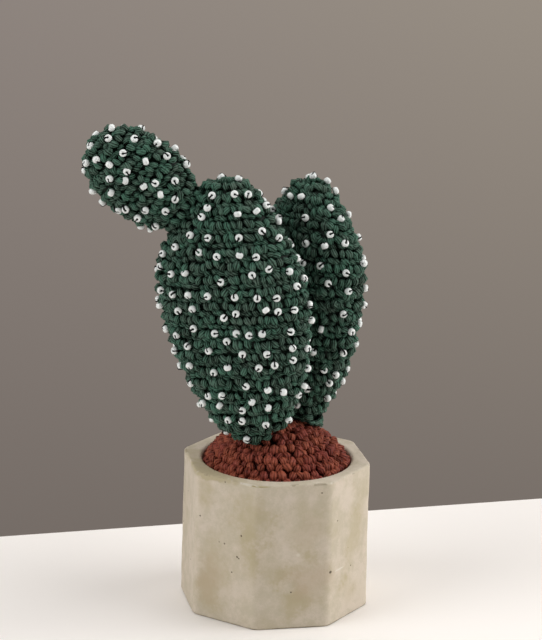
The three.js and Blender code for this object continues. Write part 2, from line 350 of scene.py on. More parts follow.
def model_bag(name, form):
    """A closed bag over the form's sections, made in the pad's own frame and then stood up at its place."""
    bag = start_ring(name, BAG_SIDES, 1, form.height[0])
    thin = np.maximum(form.thickness - SLACK, THINNEST * form.thickness)
    first = (form.width[0], thin[0], 1)
    bpy.ops.transform.resize(value=first, center_override=(0, 0, form.height[0]))
    bpy.ops.transform.translate(value=(form.shift[0], 0, 0))
    middles = [(shift, 0, height) for shift, height in zip(form.shift, form.height)]
    grow_sections(middles, list(zip(form.width, thin)))
    close_ring((0, 0, form.length - form.height[-1]))
    select_points(bag, lambda place: abs(place.z - form.height[0]) < SAME_PLACE)
    close_ring((0, 0, form.start - form.height[0]))
    finish_piece(bag)
    bag.matrix_world = form.place
    bpy.ops.object.transform_apply(location=True, rotation=True, scale=True)
    fix_order(bag)
    return bag


def rings_of(bag, form):
    """The bag's points in order, as rings by sides from its tip to its base, and its two end points."""
    local = points_of(bag) @ np.array(form.place.inverted().to_3x3()).T
    local += np.array(form.place.inverted().translation)
    ends = [int(local[:, 2].argmax()), int(local[:, 2].argmin())]
    ring = np.abs(local[:, 2][:, None] - form.height[None, :]).argmin(axis=1)
    across = (local[:, 0] - form.shift[ring]) / form.width.max()
    side = np.arctan2(local[:, 1] / form.thickness.max(), across) % math.tau
    rest = np.setdiff1d(np.arange(len(local)), ends)
    order = rest[np.lexsort((side[rest], -ring[rest]))].reshape(-1, BAG_SIDES)
    return order, ends


def blow_up(pieces):
    """Simulate the pieces as cloth, with pressure inside and no gravity, and apply the result."""
    for piece in pieces:
        cloth = piece.modifiers.new("stuffing", "CLOTH")
        cloth.settings.effector_weights.gravity = 0
        for key, value in CLOTH.items():
            setattr(cloth.settings, key, value)
    for number in range(1, STUFFING_FRAMES + 1):
        bpy.context.scene.frame_set(number)
    for piece in pieces:
        start_clean()
        bpy.context.view_layer.objects.active = piece
        piece.select_set(True)
        bpy.ops.object.modifier_apply(modifier="stuffing")
    bpy.context.scene.frame_set(1)


def stuff(bags):
    """Blow the bags up, and hold each point within the cap."""
    at_rest = {name: points_of(bag) for name, bag in bags.items()}
    blow_up(list(bags.values()))
    for name, bag in bags.items():
        move = points_of(bag) - at_rest[name]
        reach = np.maximum(np.linalg.norm(move, axis=1, keepdims=True), TINY)
        move *= np.minimum(1, CAP / reach)
        bag.data.vertices.foreach_set("co", (at_rest[name] + move).ravel())
        bag.data.update()
        print(name, "stuffed: points moved", np.round(np.percentile(reach / MM, (5, 50, 95)), 2), "mm")


bags = {name: model_bag(name + "_bag", form) for name, form in FORMS.items()}
orders = {name: rings_of(bags[name], form) for name, form in FORMS.items()}
stuff(bags)

# %% [markdown]
# ## From a form to rounds of stitches
#
# A crocheter works in rounds and doesn't think in coordinates. The class below gives a form the same way
# of speaking: a place on the skin is so far down from the tip, and so far round. It resamples each ring
# at equal distances, measures how long the way down is and how long each ring is, and finds the way out
# of the skin everywhere.

# %% A skin to work rounds on
SKIN_SIDES = 128


class Skin:
    """A stuffed form, for finding the point and the way out at a distance down and a share round."""

    def __init__(self, rings, tip, base):
        evened = [np.tile(tip, (SKIN_SIDES, 1))]
        for ring in rings:
            loop = np.vstack([ring, ring[:1]])
            run = np.concatenate([[0], np.cumsum(np.linalg.norm(np.diff(loop, axis=0), axis=1))])
            wanted = np.arange(SKIN_SIDES) / SKIN_SIDES * run[-1]
            evened.append(np.stack([np.interp(wanted, run, loop[:, axis]) for axis in range(3)], axis=1))
        evened.append(np.tile(base, (SKIN_SIDES, 1)))
        self.grid = np.array(evened)
        steps = np.linalg.norm(np.diff(self.grid, axis=0), axis=2)
        self.down = np.concatenate([[0], np.cumsum(steps.mean(axis=1))])
        self.girth = np.linalg.norm(np.roll(self.grid, -1, axis=1) - self.grid, axis=2).sum(axis=1)
        self.out = self.outward()

    def outward(self):
        """The way out of the skin at each point of the grid."""
        downward = np.gradient(self.grid, axis=0)
        sideways = np.roll(self.grid, -1, axis=1) - np.roll(self.grid, 1, axis=1)
        out = np.cross(downward, sideways)
        out[0], out[-1] = out[1].mean(axis=0), out[-2].mean(axis=0)
        out /= np.maximum(np.linalg.norm(out, axis=2, keepdims=True), TINY)
        middle = self.grid.mean(axis=1, keepdims=True)
        outside = ((self.grid - middle) * out).sum(axis=2).mean()
        return out if outside > 0 else -out

    def at(self, down, around):
        """Points of the skin and the ways out there, for arrays of distances down and shares round."""
        row = np.interp(down, self.down, np.arange(len(self.down)))
        low = np.minimum(row.astype(int), len(self.down) - 2)
        part = (row - low)[..., None]
        side = (around % 1) * SKIN_SIDES
        left = side.astype(int) % SKIN_SIDES
        right = (left + 1) % SKIN_SIDES
        across = (side - np.floor(side))[..., None]
        found = []
        for grid in (self.grid, self.out):
            upper = grid[low, left] * (1 - across) + grid[low, right] * across
            lower = grid[low + 1, left] * (1 - across) + grid[low + 1, right] * across
            found.append(upper * (1 - part) + lower * part)
        found[1] /= np.maximum(np.linalg.norm(found[1], axis=-1, keepdims=True), TINY)
        return found


def pad_skin(name):
    """The skin of a stuffed pad. Its ring order was found before it was stuffed."""
    order, (tip, base) = orders[name]
    places = points_of(bags[name])
    return Skin(places[order], places[tip], places[base])


skins = {name: pad_skin(name) for name in FORMS}
for bag in bags.values():
    bpy.data.objects.remove(bag)
for name, skin in skins.items():
    print(name, "way down", round(skin.down[-1] / MM, 1), "girth", round(skin.girth.max() / MM, 1), "mm")

# %% [markdown]
# ## Laying the stitches
#
# The rounds are worked from the tip down, six stitches in the first, and then as many as the girth takes.
# The number stays even, so that the stitches in the middle of both faces stand in columns, and the extra
# ones come in at the edges, where a crocheter adds them too. A real crocheter's tension varies, so every
# stitch is a little out of place, tighter or looser, by a seeded draw. A stitch worked this way leans:
# its left leg stands almost upright, and its right leg runs aslant and tucks in under the left leg of its
# neighbour. Both come up out of the fabric, arch over it and go in again under the next round. Below them
# a short bar crosses over, where the next round's loop is drawn through, in two short legs that lie
# deeper. Each line below gives five places on a leg: how far across in stitches, how far down in rounds,
# and how high over the skin in millimetres. The two lists for the hand say by how much a draw may move
# things, as shares of a stitch or a round: aside, down, wider, longer and higher for a stitch, and aside,
# down, higher, plumper and turned for a leg.

# %% Lay rounds of stitches on a skin
STITCH_LEGS = np.array([
    [(-0.23, 0.11, -1.2), (-0.25, 0.20, 0.25), (-0.26, 0.34, 0.7), (-0.27, 0.48, 0.3), (-0.26, 0.57, -1.2)],
    [(0.13, 0.08, -1.2), (0.18, 0.17, 0.2), (0.26, 0.31, 0.6), (0.35, 0.45, 0.15), (0.40, 0.54, -1.3)],
    [(-0.24, 0.66, -1.9), (-0.16, 0.73, -0.7), (-0.06, 0.81, -0.4), (0.05, 0.89, -0.65), (0.11, 0.96, -1.9)],
    [(0.22, 0.77, -1.9), (0.29, 0.80, -0.8), (0.41, 0.84, -0.5), (0.53, 0.88, -0.75), (0.60, 0.92, -1.9)],
])
FIRST_STITCHES = 6
FIRST_ROUND = -0.1
LEAST_ROUND = 0.4
STITCH_HAND = (0.06, 0.055, 0.08, 0.10, 0.05)
LEG_HAND = (0.05, 0.055, 0.2, 0.1, 0.3)
LEG_END_SHARE = 0.4
ROOM_RANGE = (0.62, 1.12)
ROOM_POWER = 0.7


class Gauge:
    """How a piece is worked: the size of a stitch and a round, the legs, the yarn and the hand."""

    def __init__(self, stitch, round_height, legs=STITCH_LEGS, yarn=1.0, lean=0.1, uneven=1.0):
        self.stitch = stitch
        self.round_height = round_height
        self.legs = legs
        self.yarn = yarn
        self.lean = lean
        self.uneven = uneven


def plan_rounds(skin, gauge, face, last=None):
    """The place of each stitch: its distance down, its share round, and its width as a share of a round."""
    stitches = []
    down = FIRST_ROUND * gauge.round_height
    end = skin.down[-1] if last is None else last
    number = 0
    while down < end - LEAST_ROUND * gauge.round_height:
        girth = np.interp(down + 0.5 * gauge.round_height, skin.down, skin.girth)
        count = max(FIRST_STITCHES, 2 * round(girth / gauge.stitch / 2))
        phase = count * face - 0.5 - gauge.lean * number
        shares = (np.arange(count) + 0.5 + phase % 1) / count
        stitches += [(down, share, 1 / count) for share in shares]
        down += gauge.round_height
        number += 1
    return np.array(stitches), number


def wrap_yarn(middle, out, plump, rng):
    """The leg's points along middle lines, each leg thicker by a factor and turned about its own line."""
    along = np.gradient(middle, axis=1)
    along /= np.maximum(np.linalg.norm(along, axis=2, keepdims=True), TINY)
    side = np.cross(out, along)
    side /= np.maximum(np.linalg.norm(side, axis=2, keepdims=True), TINY)
    up = np.cross(along, side)
    spin = rng.uniform(0, math.tau, len(middle))
    station = np.clip(yarn_leg.station + 1, 0, yarn_leg.rings + 1)
    low = np.minimum(station.astype(int), yarn_leg.rings)
    part = (station - low)[None, :, None]
    turned = np.exp(1j * spin)[:, None] * (yarn_leg.offset[:, 0] + 1j * yarn_leg.offset[:, 1])[None, :]
    turned *= plump[:, None]
    frames = [a[:, low] * (1 - part) + a[:, low + 1] * part for a in (middle, side, up)]
    return frames[0] + turned.real[..., None] * frames[1] + turned.imag[..., None] * frames[2]


def lay_legs(skin, stitches, gauge, rng):
    """The points of all legs, as an array of legs by points by places, and the middle of each leg."""
    count = len(stitches)
    hand = gauge.uneven * rng.normal(size=(count, 5)) * STITCH_HAND
    aside, below, looser, longer, raised = np.split(hand, 5, axis=1)
    laid, middles = [], []
    for leg_line in gauge.legs:
        leg_hand = gauge.uneven * rng.normal(size=(count, 5)) * LEG_HAND
        leg_aside, leg_below, leg_raised, plumper, turn = np.split(leg_hand, 5, axis=1)
        axis = leg_line.T[:, np.clip(np.arange(-1, yarn_leg.rings + 1), 0, yarn_leg.rings - 1)].copy()
        axis[:, 0] -= LEG_END_SHARE * (axis[:, 2] - axis[:, 1])
        axis[:, -1] += LEG_END_SHARE * (axis[:, -2] - axis[:, -3])
        heart = axis[:2].mean(axis=1)
        arm_across = (axis[0] - heart[0])[None] * gauge.stitch
        arm_down = (axis[1] - heart[1])[None] * gauge.round_height
        swung = arm_across * np.cos(turn) - arm_down * np.sin(turn)
        fallen = arm_across * np.sin(turn) + arm_down * np.cos(turn)
        across = heart[0] + swung / gauge.stitch * (1 + looser) + aside + leg_aside
        fall = heart[1] + fallen / gauge.round_height * (1 + 0.5 * longer) + below + leg_below
        height = (axis[2] + leg_raised + 2 * raised) * MM
        down = stitches[:, 0:1] + fall * gauge.round_height
        around = stitches[:, 1:2] + across * stitches[:, 2:3]
        point, out = skin.at(down, around)
        middle = point + height[..., None] * out
        girth = np.interp(stitches[:, 0] + 0.5 * gauge.round_height, skin.down, skin.girth)
        room = np.clip(stitches[:, 2] * girth / gauge.stitch, *ROOM_RANGE)
        plump = gauge.yarn * (1 + plumper[:, 0]) * room ** ROOM_POWER
        laid.append(wrap_yarn(middle, out, plump, rng))
        middles.append(middle[:, 1 + yarn_leg.rings // 2])
    return np.concatenate(laid), np.concatenate(middles)


# %% [markdown]
# Below the legs lies the rest of the fabric: the backs of the stitches and the wadding that holds them
# out. It shows only as darkness between the legs, so a plain skin, a little way down, stands for it. Legs
# and skin become one mesh. Each leg also gets a random tone, so that no two are quite alike, and a cell
# of its own in a second UV map, which gives every face of the fabric a place on a flat sheet, as a
# texture needs.

# %% Join the legs and the lining into a piece
LINING_DEPTH = 1.0 * MM
LINING_STRIP = 0.12
LINING_TONE = -1.0
CELL_MARGIN = 0.08


def skin_mesh(skin, every):
    """Points and faces of the lining, with only every few sides and rings of the skin's grid."""
    inner = skin.grid - LINING_DEPTH * skin.out
    body = inner[list(range(every, len(skin.down) - 1, every))][:, ::every]
    points = np.vstack([body.reshape(-1, 3), inner[0, 0], inner[-1, 0]])
    count, sides = body.shape[:2]
    faces = []
    for i in range(sides):
        j = (i + 1) % sides
        for k in range(count - 1):
            here, below = k * sides, (k + 1) * sides
            faces.append((here + i, below + i, below + j, here + j))
        faces.append((count * sides, i, j))
        faces.append((count * sides + 1, (count - 1) * sides + j, (count - 1) * sides + i))
    return points, faces


def points_out(points, faces):
    """Whether the faces of a closed mesh point outwards, from the sign of its volume."""
    volume = 0
    for face in faces:
        first, *others = points[list(face)]
        volume += sum(np.dot(first, np.cross(a, b)) for a, b in zip(others, others[1:]))
    return volume > 0


def in_cells(count, uv):
    """A square sheet of cells, one for each copy, with the same small map inside each."""
    across = math.ceil(math.sqrt(count))
    cell = np.stack([np.arange(count) % across, np.arange(count) // across], axis=1)
    inside = (uv - uv.min(axis=0)) / np.maximum(np.ptp(uv, axis=0), TINY)
    inside = CELL_MARGIN + (1 - 2 * CELL_MARGIN) * inside
    return ((cell[:, None, :] + inside[None]) / across).reshape(-1, 2)


def flat_sheet(count, points, lining_corners):
    """A flat place for each face corner: a cell for each leg, and a strip at the bottom for the lining."""
    legs = in_cells(count, yarn_leg.uv)
    legs[:, 1] = LINING_STRIP + (1 - LINING_STRIP) * legs[:, 1]
    share = (points[lining_corners] - points.min(axis=0)) / np.ptp(points, axis=0)
    lining = np.stack([share[:, 2], share[:, 0] * LINING_STRIP * 0.9], axis=1)
    return np.vstack([legs, lining])


def piece_from(name, places, sizes, corners, maps, tones):
    """A new smooth piece: its points, its faces as sizes and corners, its UV maps and each point's tone."""
    mesh = bpy.data.meshes.new(name)
    mesh.vertices.add(len(places))
    mesh.vertices.foreach_set("co", places.ravel())
    mesh.loops.add(len(corners))
    mesh.loops.foreach_set("vertex_index", corners.astype(np.int32))
    mesh.polygons.add(len(sizes))
    starts = np.concatenate([[0], np.cumsum(sizes)[:-1]])
    mesh.polygons.foreach_set("loop_start", starts.astype(np.int32))
    mesh.polygons.foreach_set("use_smooth", np.ones(len(sizes), bool))
    mesh.update(calc_edges=True)
    for map_name, uv in maps.items():
        mesh.uv_layers.new(name=map_name).uv.foreach_set("vector", uv.ravel())
    mesh.attributes.new("tone", "FLOAT", "POINT").data.foreach_set("value", tones)
    piece = bpy.data.objects.new(name, mesh)
    bpy.context.scene.collection.objects.link(piece)
    return piece


def corners_of_copies(corners, points, count):
    """The face corners of all copies of a shape, one copy after the other."""
    return (corners[None, :] + points * np.arange(count)[:, None]).ravel()


def crochet_piece(name, legs, lining, tones):
    """One mesh from laid legs and a lining, with the yarn's own UV map and the flat sheet."""
    points, faces = lining
    if not points_out(points, faces):
        faces = [face[::-1] for face in faces]
    count = len(legs)
    lining_corners = np.concatenate(faces)
    leg_corners = corners_of_copies(yarn_leg.corners, yarn_leg.count, count)
    corners = np.concatenate([leg_corners, lining_corners + yarn_leg.count * count])
    sizes = np.concatenate([np.tile(yarn_leg.sizes, count), [len(face) for face in faces]])
    yarn_uv = np.vstack([np.tile(yarn_leg.uv, (count, 1)), np.full((len(lining_corners), 2), 0.5)])
    maps = {"Yarn": yarn_uv, "OFBake": flat_sheet(count, points, lining_corners)}
    tone = np.concatenate([np.repeat(tones, yarn_leg.count), np.full(len(points), LINING_TONE)])
    piece = piece_from(name, np.vstack([legs.reshape(-1, 3), points]), sizes, corners, maps, tone)
    lined = np.arange(len(sizes)) >= count * len(yarn_leg.sizes)
    piece.data.polygons.foreach_set("material_index", lined.astype(np.int32))
    piece.data.validate()
    print(name, "has", count, "legs and", int((sizes - 2).sum()), "triangles")
    return piece


# %% [markdown]
# ## Fitting the pieces to each other
#
# Soft pieces press into what carries them. The foot of each large pad is pressed flat on the mound, and
# the small pad's root on the upper edge of the front pad. A point that would lie inside the neighbour is
# moved out to its skin, and a leg that is buried altogether is left out, because nobody will see it.

# %% The mound as a ball, and pressing against it
SOIL_TOP = 69 * MM
SOIL_EDGE = 53.1 * MM
BORE_RADIUS = 27.5 * MM
SOIL_RADIUS = 27.3 * MM
RISE = SOIL_TOP - SOIL_EDGE
DOME_RADIUS = (SOIL_RADIUS ** 2 + RISE ** 2) / (2 * RISE)
DOME_MIDDLE = np.array([0, 0, SOIL_TOP - DOME_RADIUS])
YARN_HEIGHT = 1.5 * MM
PRESS_GAP = 0.6 * YARN_HEIGHT


def press_on_dome(places, gap):
    """Move the points that lie inside the mound, or nearer to it than a gap, out along its radius."""
    arm = places - DOME_MIDDLE
    reach = np.linalg.norm(arm, axis=-1, keepdims=True)
    return DOME_MIDDLE + arm / reach * np.maximum(reach, DOME_RADIUS + gap)


class Neighbour:
    """A skin to press against, or to keep clear of."""

    def __init__(self, skin):
        self.points = skin.grid[:, ::2].reshape(-1, 3)
        self.out = skin.out[:, ::2].reshape(-1, 3)
        self.tree = KDTree(len(self.points))
        for i, point in enumerate(self.points):
            self.tree.insert(point, i)
        self.tree.balance()

    def height_over(self, place):
        """How far a place is outside the skin, and the way out there. It is negative inside."""
        _, i, _ = self.tree.find(place)
        return float(np.dot(place - self.points[i], self.out[i])), self.out[i]

    def press(self, places, gap, near):
        """Move out the points that lie nearer than a gap, among those within a reach of a middle."""
        moved = places.copy()
        middle, reach = near
        for i in np.nonzero(np.linalg.norm(places - middle, axis=1) < reach)[0]:
            height, out = self.height_over(places[i])
            if height < gap:
                moved[i] += (gap - height) * out
        return moved


neighbours = {name: Neighbour(skin) for name, skin in skins.items()}
print("dome radius", round(DOME_RADIUS / MM, 2), "mm")

# %% [markdown]
# ## The pads
#
# All three pads are worked at the same gauge. The front pad comes first, then the back pad and the small
# one. Long strands sew the foot of each large pad to the mound. Each strand lies along the line where the
# two meet, and arches over the last stitches.

# %% Crochet the pads
STITCH = 4.8 * MM
ROUND = 5.0 * MM
FACE_SHARE = 0.75
FOOT_CLEAR = 2.7 * MM
ROOT_REACH = 22 * MM
FOOT_STRANDS = 30
FOOT_REACH = 1.4
FOOT_HEIGHT = 1.7 * MM
FOOT_RISE = np.array([-0.4, 1.2, 1.6, 1.2, -0.4]) * MM
FOOT_LOOK = (0.6, 120)
FOOT_LIFT, FOOT_SLANT = (0.5, 0.8), (0.7, 0.5)
FOOT_SCATTER = 0.2
FOOT_ARCH = 0.8
FOOT_YARN = (0.85, 1.05)
LARGE_GRID, SOIL_GRID = 3, 2


def foot_line(skin, shares):
    """How far down the skin meets the mound, at shares of the way round."""
    first, steps = FOOT_LOOK
    downs = np.linspace(first * skin.down[-1], skin.down[-1], steps)
    found = []
    for share in shares:
        points, _ = skin.at(downs, np.full(len(downs), share))
        over = np.abs(np.linalg.norm(points - DOME_MIDDLE, axis=1) - DOME_RADIUS - FOOT_HEIGHT)
        found.append(downs[over.argmin()])
    return np.array(found)


def foot_strands(skin, rng):
    """Long strands that sew a pad's foot to the mound, each along the line where the two meet."""
    strands = []
    for k in range(FOOT_STRANDS):
        reach = FOOT_REACH * np.linspace(-1, 1, yarn_leg.rings + 2)
        shares = (k + reach + rng.normal(0, FOOT_SCATTER)) / FOOT_STRANDS
        lift, slant = rng.normal(*zip(FOOT_LIFT, FOOT_SLANT)) * MM
        points, out = skin.at(foot_line(skin, shares % 1) - lift - slant * reach / FOOT_REACH, shares)
        arch = FOOT_REACH * FOOT_ARCH * np.linspace(-1, 1, len(FOOT_RISE))
        rise = np.interp(reach, arch, FOOT_RISE) + rng.normal(0, FOOT_SCATTER) * MM
        middle = points + rise[:, None] * out
        strands.append(wrap_yarn(middle[None], out[None], rng.uniform(*FOOT_YARN, 1), rng))
    return np.concatenate(strands)


def crochet_pad(name, seed, root_on=None):
    """A pad's stitches over its lining, fitted to the mound or to the pad that it is sewn to."""
    skin = skins[name]
    rng = np.random.default_rng(seed)
    gauge = Gauge(STITCH, ROUND)
    stitches, rounds = plan_rounds(skin, gauge, FACE_SHARE)
    legs, middles = lay_legs(skin, stitches, gauge, rng)
    points, faces = skin_mesh(skin, LARGE_GRID)
    if root_on is None:
        buried = np.linalg.norm(middles - DOME_MIDDLE, axis=1) < DOME_RADIUS + FOOT_CLEAR
        legs = press_on_dome(np.concatenate([legs[~buried], foot_strands(skin, rng)]), PRESS_GAP)
        points = press_on_dome(points, PRESS_GAP)
    else:
        other = neighbours[root_on]
        near = (skin.grid[-1, 0], ROOT_REACH)
        buried = np.array([other.height_over(middle)[0] < 0 for middle in middles])
        legs = legs[~buried]
        legs = other.press(legs.reshape(-1, 3), PRESS_GAP, near).reshape(legs.shape)
        points = other.press(points, PRESS_GAP, near)
    tones = rng.uniform(0, 1, len(legs))
    piece = crochet_piece(name + "_crochet", legs, (points, faces), tones)
    print(name, "is worked in", rounds, "rounds of up to", int(1 / stitches[:, 2].min()), "stitches")
    return piece


pads = {
    "pad_front": crochet_pad("pad_front", 11),
    "pad_back": crochet_pad("pad_back", 12),
    "pad_small": crochet_pad("pad_small", 13, root_on="pad_front"),
}

# %% [markdown]
# ## The mound of soil
#
# The mound is worked flat from its middle outwards and packed into the pot. Its yarn is thicker than the
# pads' and its stitches are drawn tight, so that each shows as four round knobs, two above and two
# between them below. Its form is part of a ball with a straight plug below it, grown in rings like the
# pads.

# %% Crochet the soil
SOIL_STITCH = 6.6 * MM
SOIL_ROUND = 5.6 * MM
KNOB_PATH = np.array([(0, -0.25, -1.3), (0, -0.14, 0.05), (0, 0, 0.5), (0, 0.14, 0.05), (0, 0.25, -1.3)])
KNOB_PLACES = (
    (-0.26, 0.26, 0.1, 0.1), (0.24, 0.28, 0.5, 0.1), (0.0, 0.76, -0.2, -0.3), (0.5, 0.78, 0.4, -0.25),
)
KNOB_DEPTH = 1.3 * MM
SOIL_BOTTOM = 8.3 * MM
DOME_RINGS = 18
PLUG_RINGS = 8


def model_mound():
    """The mound's form: a dome over a straight plug."""
    angles = np.linspace(0, math.asin(SOIL_RADIUS / DOME_RADIUS), DOME_RINGS + 1)[1:]
    radii = list(DOME_RADIUS * np.sin(angles)) + [SOIL_RADIUS] * PLUG_RINGS
    heights = list(DOME_MIDDLE[2] + DOME_RADIUS * np.cos(angles))
    heights += list(np.linspace(SOIL_EDGE, SOIL_BOTTOM, PLUG_RINGS + 1)[1:])
    mound = start_ring("mound", BAG_SIDES, radii[0], heights[0])
    grow_sections([(0, 0, height) for height in heights], [(radius, radius) for radius in radii])
    close_ring((0, 0, 0))
    select_points(mound, lambda place: abs(place.z - heights[0]) < SAME_PLACE)
    close_ring((0, 0, SOIL_TOP - heights[0]))
    return finish_piece(mound), np.array(heights)


def mound_skin():
    """The mound's skin, from the top of the dome down to the bottom of the plug."""
    mound, heights = model_mound()
    places = points_of(mound)
    bpy.data.objects.remove(mound)
    on_axis = np.hypot(places[:, 0], places[:, 1]) < SAME_PLACE
    rest = np.nonzero(~on_axis)[0]
    ring = np.abs(places[rest, 2][:, None] - heights[None, :]).argmin(axis=1)
    side = np.arctan2(places[rest, 1], places[rest, 0]) % math.tau
    order = rest[np.lexsort((side, ring))].reshape(-1, BAG_SIDES)
    return Skin(places[order], np.array([0, 0, SOIL_TOP]), np.array([0, 0, SOIL_BOTTOM]))


def crochet_soil(seed):
    """The mound's stitches over its plug."""
    skin = mound_skin()
    skin.grid -= KNOB_DEPTH * skin.out
    rng = np.random.default_rng(seed)
    knobs = []
    for across, fall, slant, lift in KNOB_PLACES:
        knob = KNOB_PATH + (across, fall, lift)
        knob[:, 0] += slant * KNOB_PATH[:, 1]
        knobs.append(knob)
    gauge = Gauge(SOIL_STITCH, SOIL_ROUND, legs=np.array(knobs), yarn=1.4, lean=0.15, uneven=0.85)
    rim = DOME_RADIUS * math.asin(SOIL_RADIUS / DOME_RADIUS)
    stitches, rounds = plan_rounds(skin, gauge, FACE_SHARE, last=rim + 3 * MM)
    legs, _ = lay_legs(skin, stitches, gauge, rng)
    reach = np.hypot(legs[..., 0], legs[..., 1])[..., None]
    squeeze = np.minimum(1, (BORE_RADIUS - 0.1 * MM) / np.maximum(reach, TINY))
    legs = legs * np.concatenate([squeeze, squeeze, np.ones_like(squeeze)], axis=2)
    tones = rng.uniform(0, 1, len(legs))
    print("soil is worked in", rounds, "rounds of up to", int(1 / stitches[:, 2].min()), "stitches")
    return crochet_piece("soil_crochet", legs, skin_mesh(skin, SOIL_GRID), tones)


soil = crochet_soil(21)

# %% [markdown]
# ## The beads
#
# The spines are white glass seed beads, each a short tube with rounded ends, sewn on through its hole
# with dark thread. The bead is a ring that is grown up inside the hole, out over the end, down the
# outside and back to its start. Most beads lie flat, with the hole outwards and the thread going over the
# rim, and the others stand on edge.

# %% Model a bead and its thread
BEAD_RADIUS = 1.43 * MM
BEAD_HOLE = 0.42 * MM
BEAD_LENGTH = 2.0 * MM
BEAD_SIDES = 12
BEAD_PROFILE = (
    (0.42, -0.8), (0.42, 0.8), (0.74, 1.0), (1.18, 0.82), (1.43, 0.0), (1.18, -0.82), (0.74, -1.0),
)
THREAD_RADIUS = 0.2 * MM
THREAD_FILL = 0.38 * MM
THREAD_SIDES = 6


def model_bead():
    """A bead round the Z axis, as a closed ring of glass."""
    rings = [(radius * MM, height * MM) for radius, height in BEAD_PROFILE + BEAD_PROFILE[:1]]
    bead = start_ring("bead", BEAD_SIDES, *rings[0])
    grow_sections([(0, 0, height) for _, height in rings], [(radius, radius) for radius, _ in rings])
    bpy.ops.mesh.select_all(action="SELECT")
    bpy.ops.mesh.remove_doubles(threshold=SAME_PLACE)
    return finish_piece(bead)


def model_thread():
    """The thread that holds a bead: it fills the hole, goes over the rim at +X and down beside it."""
    top = BEAD_LENGTH / 2
    beside = BEAD_RADIUS - 0.03 * MM
    middle = (BEAD_RADIUS + BEAD_HOLE) / 2
    path = [
        (0.05 * MM, -0.5 * top), (0.15 * MM, 0.6 * top), (middle - 0.25 * MM, top),
        (middle + 0.3 * MM, 0.84 * top), (beside, 0.2 * top), (beside + 0.25 * MM, -0.5 * top),
        (beside + 0.35 * MM, -1.2 * top),
    ]
    thread = start_ring("thread", THREAD_SIDES, THREAD_FILL, path[0][1])
    heading = 0
    for k in range(1, len(path)):
        (x0, z0), (x1, z1) = path[k - 1], path[k]
        grow_ring((x1 - x0, 0, z1 - z0))
        after = path[min(k + 1, len(path) - 1)]
        wanted = math.atan2(after[0] - x0, after[1] - z0)
        bpy.ops.transform.rotate(value=heading - wanted, orient_axis="Y", center_override=(x1, 0, z1))
        heading = wanted
        if k == 1:
            thinner = THREAD_RADIUS / THREAD_FILL
            grow_ring((0, 0, 0.05 * MM))
            bpy.ops.transform.resize(value=(thinner, thinner, thinner), center_override=(x1, 0, z1))
    bpy.ops.mesh.edge_face_add()
    select_points(thread, lambda place: place.z < -0.3 * top and place.x < 0.5 * middle)
    bpy.ops.mesh.edge_face_add()
    return finish_piece(thread)


bead, thread = model_bead(), model_thread()
for shape in (bead, thread):
    print(shape.name, "measures", [round(size / MM, 2) for size in shape.dimensions], "mm")

# %% [markdown]
# The beads are laid in rows down the pad, and every bead is scattered a little, by a seeded draw. A place
# that is too near to the mound, to another pad or to a bead that is already sewn on gets none. A flat
# bead leans a little, a bead on edge stands a little askew, and each sinks into the yarn by its own small
# amount.

# %% Sew the beads on
BEAD_MARGIN = 5.2 * MM
BEAD_APART = 2.2 * BEAD_RADIUS
BEAD_SCATTER = (0.2, 0.22)
FIRST_ROW = 0.45
FEWEST_BEADS = 3
ROW_SHIFT = 0.5
ROW_SCATTER = 0.3
FLAT_SHARE = 0.72
FLAT_TILT = 0.33
EDGE_TILT = 0.22
FLAT_RISE = -0.2 * MM
EDGE_RISE = 0.1 * MM
RISE_SPREAD = 0.22
THREAD_WIDTHS = (0.9, 1.8)


def bead_places(skin, spacing, rng):
    """Distances down and shares round for beads: rows of even places, each then scattered a little."""
    places = []
    down = FIRST_ROW * spacing
    number = 0
    while down < skin.down[-1]:
        girth = np.interp(down, skin.down, skin.girth)
        count = max(FEWEST_BEADS, round(girth / spacing))
        start = ROW_SHIFT * number + ROW_SCATTER * rng.normal()
        for i in range(count):
            scatter = rng.normal(size=2) * BEAD_SCATTER
            places.append((down + scatter[0] * spacing, (i + start + scatter[1]) / count))
        down += spacing
        number += 1
    return np.array(places)


def has_room(centre, others, centres):
    """Whether a bead is clear of the mound, of the other pads and of the beads that are already sewn on."""
    if np.linalg.norm(centre - DOME_MIDDLE) < DOME_RADIUS + BEAD_MARGIN:
        return False
    if any(neighbours[other].height_over(centre)[0] < BEAD_MARGIN for other in others):
        return False
    return not centres or np.linalg.norm(np.array(centres) - centre, axis=1).min() >= BEAD_APART


def bead_turn(out, flat, tilt, heading, pull):
    """The rotation of a bead: its hole's axis tilted from the way out, and its thread's side."""
    up = Vector(out)
    aside = up.orthogonal().normalized()
    aside.rotate(Matrix.Rotation(heading, 3, up))
    axis = (math.cos(tilt) * up + math.sin(tilt) * aside).normalized()
    over = up.cross(axis) if flat else -up
    if flat:
        over.rotate(Matrix.Rotation(pull, 3, axis))
    over = (over - over.dot(axis) * axis).normalized()
    return np.array(Matrix((over, axis.cross(over), axis)).transposed())


